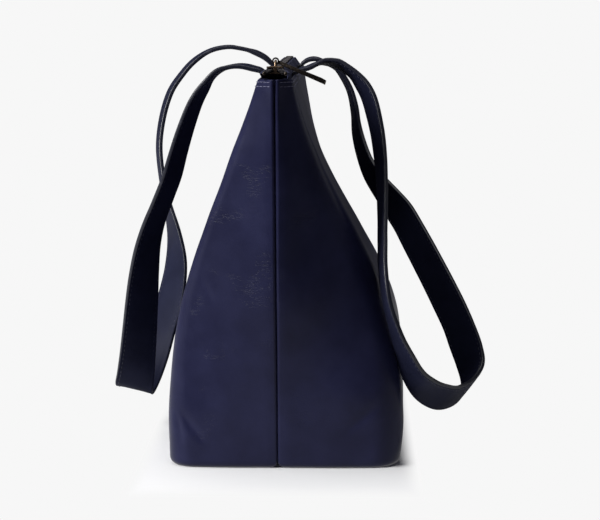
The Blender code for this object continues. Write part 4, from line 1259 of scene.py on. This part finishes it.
tooth = make_tooth()
for word, side in (("front", -1), ("back", 1)):
    make_teeth("zip_teeth_" + word, side, tooth, teeth_metal)
    make_tape(word, side, tape_cloth)
bpy.data.objects.remove(tooth)
make_stops(gunmetal)
finish_slider(gunmetal, brass)
finish_pull(gunmetal)

strap_finishes = [strap_leather, edge_paint, strap_thread]
make_handle("front", -1, FRONT_NEAR_ARCH, FRONT_FAR_ARCH, FRONT_LOOP, strap_finishes)
make_handle("back", 1, BACK_NEAR_ARCH, BACK_FAR_ARCH, BACK_LOOP, strap_finishes)

# Floor, light and camera

WHITE = colour(0.93, 0.93, 0.93)
BASE_HALF_LENGTH = 0.208      # of the floor that is in shadow round the base
BASE_HALF_DEPTH = 0.088
SHADOW_REACH = 0.044          # beyond which the floor is white for the camera
PAINTED_REFLECTION_SHARE = 0.7                    # painted reflection: how white the floor left of and in front of the bag glows in the leather's reflections
GLOW = 0.04                   # how white the wall behind the bag looks in its leather
LAMPS = (
    ("left_softbox", (0.95, -1.60, 1.00), 1.1, 58),
    ("overhead", (0.1, -0.1, 1.9), 1.4, 14),
    ("right_card", (-1.1, 1.5, 0.25), 1.2, 1.5),
)
PHOTO_WIDTH = 600             # pixels
FOCAL_PIXELS = 2133
CAMERA_PLACE = (1.67503, 0.04878, 0.33184)
CAMERA_TURN = 0.0214
CAMERA_DIP = 0.11763


def behind(finish, place):
    """1 for what lies behind the bag as the camera sees it, 0 in front of it."""
    x = finish.node("ShaderNodeSeparateXYZ", None, {"Vector": place})
    return finish.step(x, -0.80, -0.96)


def floor_finish():
    """Matt white table. For the camera it runs into the white behind it, away from the shadow.
    Left of and in front of the bag it glows white for reflections only, a painted reflection on the
    leather.
    """
    finish = Finish("white_table")
    camera_ray = finish.node("ShaderNodeLightPath")
    finish.set(Base_Color=finish.mix(camera_ray, colour(0.75, 0.75, 0.75), WHITE))
    finish.set(Roughness=0.9, Specular_IOR_Level=0.0)
    place = finish.place()
    across = finish.node("ShaderNodeSeparateXYZ", None, {"Vector": place}, output=1)
    along = finish.node("ShaderNodeSeparateXYZ", None, {"Vector": place})
    far = (along.size() - BASE_HALF_LENGTH).most((across.size() - BASE_HALF_DEPTH) * 3.0)
    white = finish.node("ShaderNodeEmission", None, {"Color": WHITE})
    glossy_ray = finish.node("ShaderNodeLightPath", output="Is Glossy Ray")
    # painted reflection: left of and in front of the bag the floor glows white for glossy rays only, laying
    # a white sheen on the leather
    reflection_patch = finish.step(along, -0.05, 0.15) * (1.0 - finish.step(across, 0.07, 0.15))
    share = camera_ray * finish.step(far, 0.0, SHADOW_REACH) + glossy_ray * (reflection_patch * PAINTED_REFLECTION_SHARE)
    table = Shade(finish, finish.shader.outputs[0])
    mixed = finish.node("ShaderNodeMixShader", None, {0: share, 1: table, 2: white})
    finish.fill(finish.tree.nodes["Material Output"].inputs["Surface"], mixed)
    return finish.material


bpy.ops.object.select_all(action="DESELECT")
bpy.ops.mesh.primitive_plane_add(size=6, location=(-2.65, 0, 0))
bpy.ops.object.transform_apply(location=True, rotation=True, scale=True)
floor = bpy.context.object
floor.name = "floor"
floor.data.materials.append(floor_finish())

for name, place, size, power in LAMPS:
    lamp = bpy.data.lights.new(name, "AREA")
    lamp.size = size
    lamp.energy = power
    holder = bpy.data.objects.new(name, lamp)
    holder.location = place
    aim = Vector((0, 0, 0.12)) - Vector(place)
    holder.rotation_euler = aim.to_track_quat("-Z", "Y").to_euler()
    bpy.context.collection.objects.link(holder)

world = bpy.data.worlds.new("white_sweep")
bpy.context.scene.world = world
world.use_nodes = True
sky = Finish("white_sweep", world.node_tree)
camera_ray, glossy_ray, clear_ray = (sky.node("ShaderNodeLightPath", output=f"Is {kind} Ray")
                                     for kind in ("Camera", "Glossy", "Transmission"))
way_out = sky.node("ShaderNodeTexCoord", output="Generated")
seen = camera_ray + clear_ray + glossy_ray * GLOW * behind(sky, way_out)
sky.fill(sky.tree.nodes["Background"].inputs["Color"],
         sky.mix(seen, colour(0.06, 0.06, 0.072), WHITE))

lens = bpy.data.cameras.new("photo_camera")
lens.sensor_width = 36
lens.lens = lens.sensor_width * FOCAL_PIXELS / PHOTO_WIDTH
camera = bpy.data.objects.new("photo_camera", lens)
bpy.context.collection.objects.link(camera)
camera.location = CAMERA_PLACE
look = Vector((-cos(CAMERA_DIP) * cos(CAMERA_TURN), -cos(CAMERA_DIP) * sin(CAMERA_TURN), -sin(CAMERA_DIP)))
camera.rotation_euler = look.to_track_quat("-Z", "Y").to_euler()
bpy.context.scene.camera = camera
bpy.context.scene.view_settings.view_transform = "Standard"
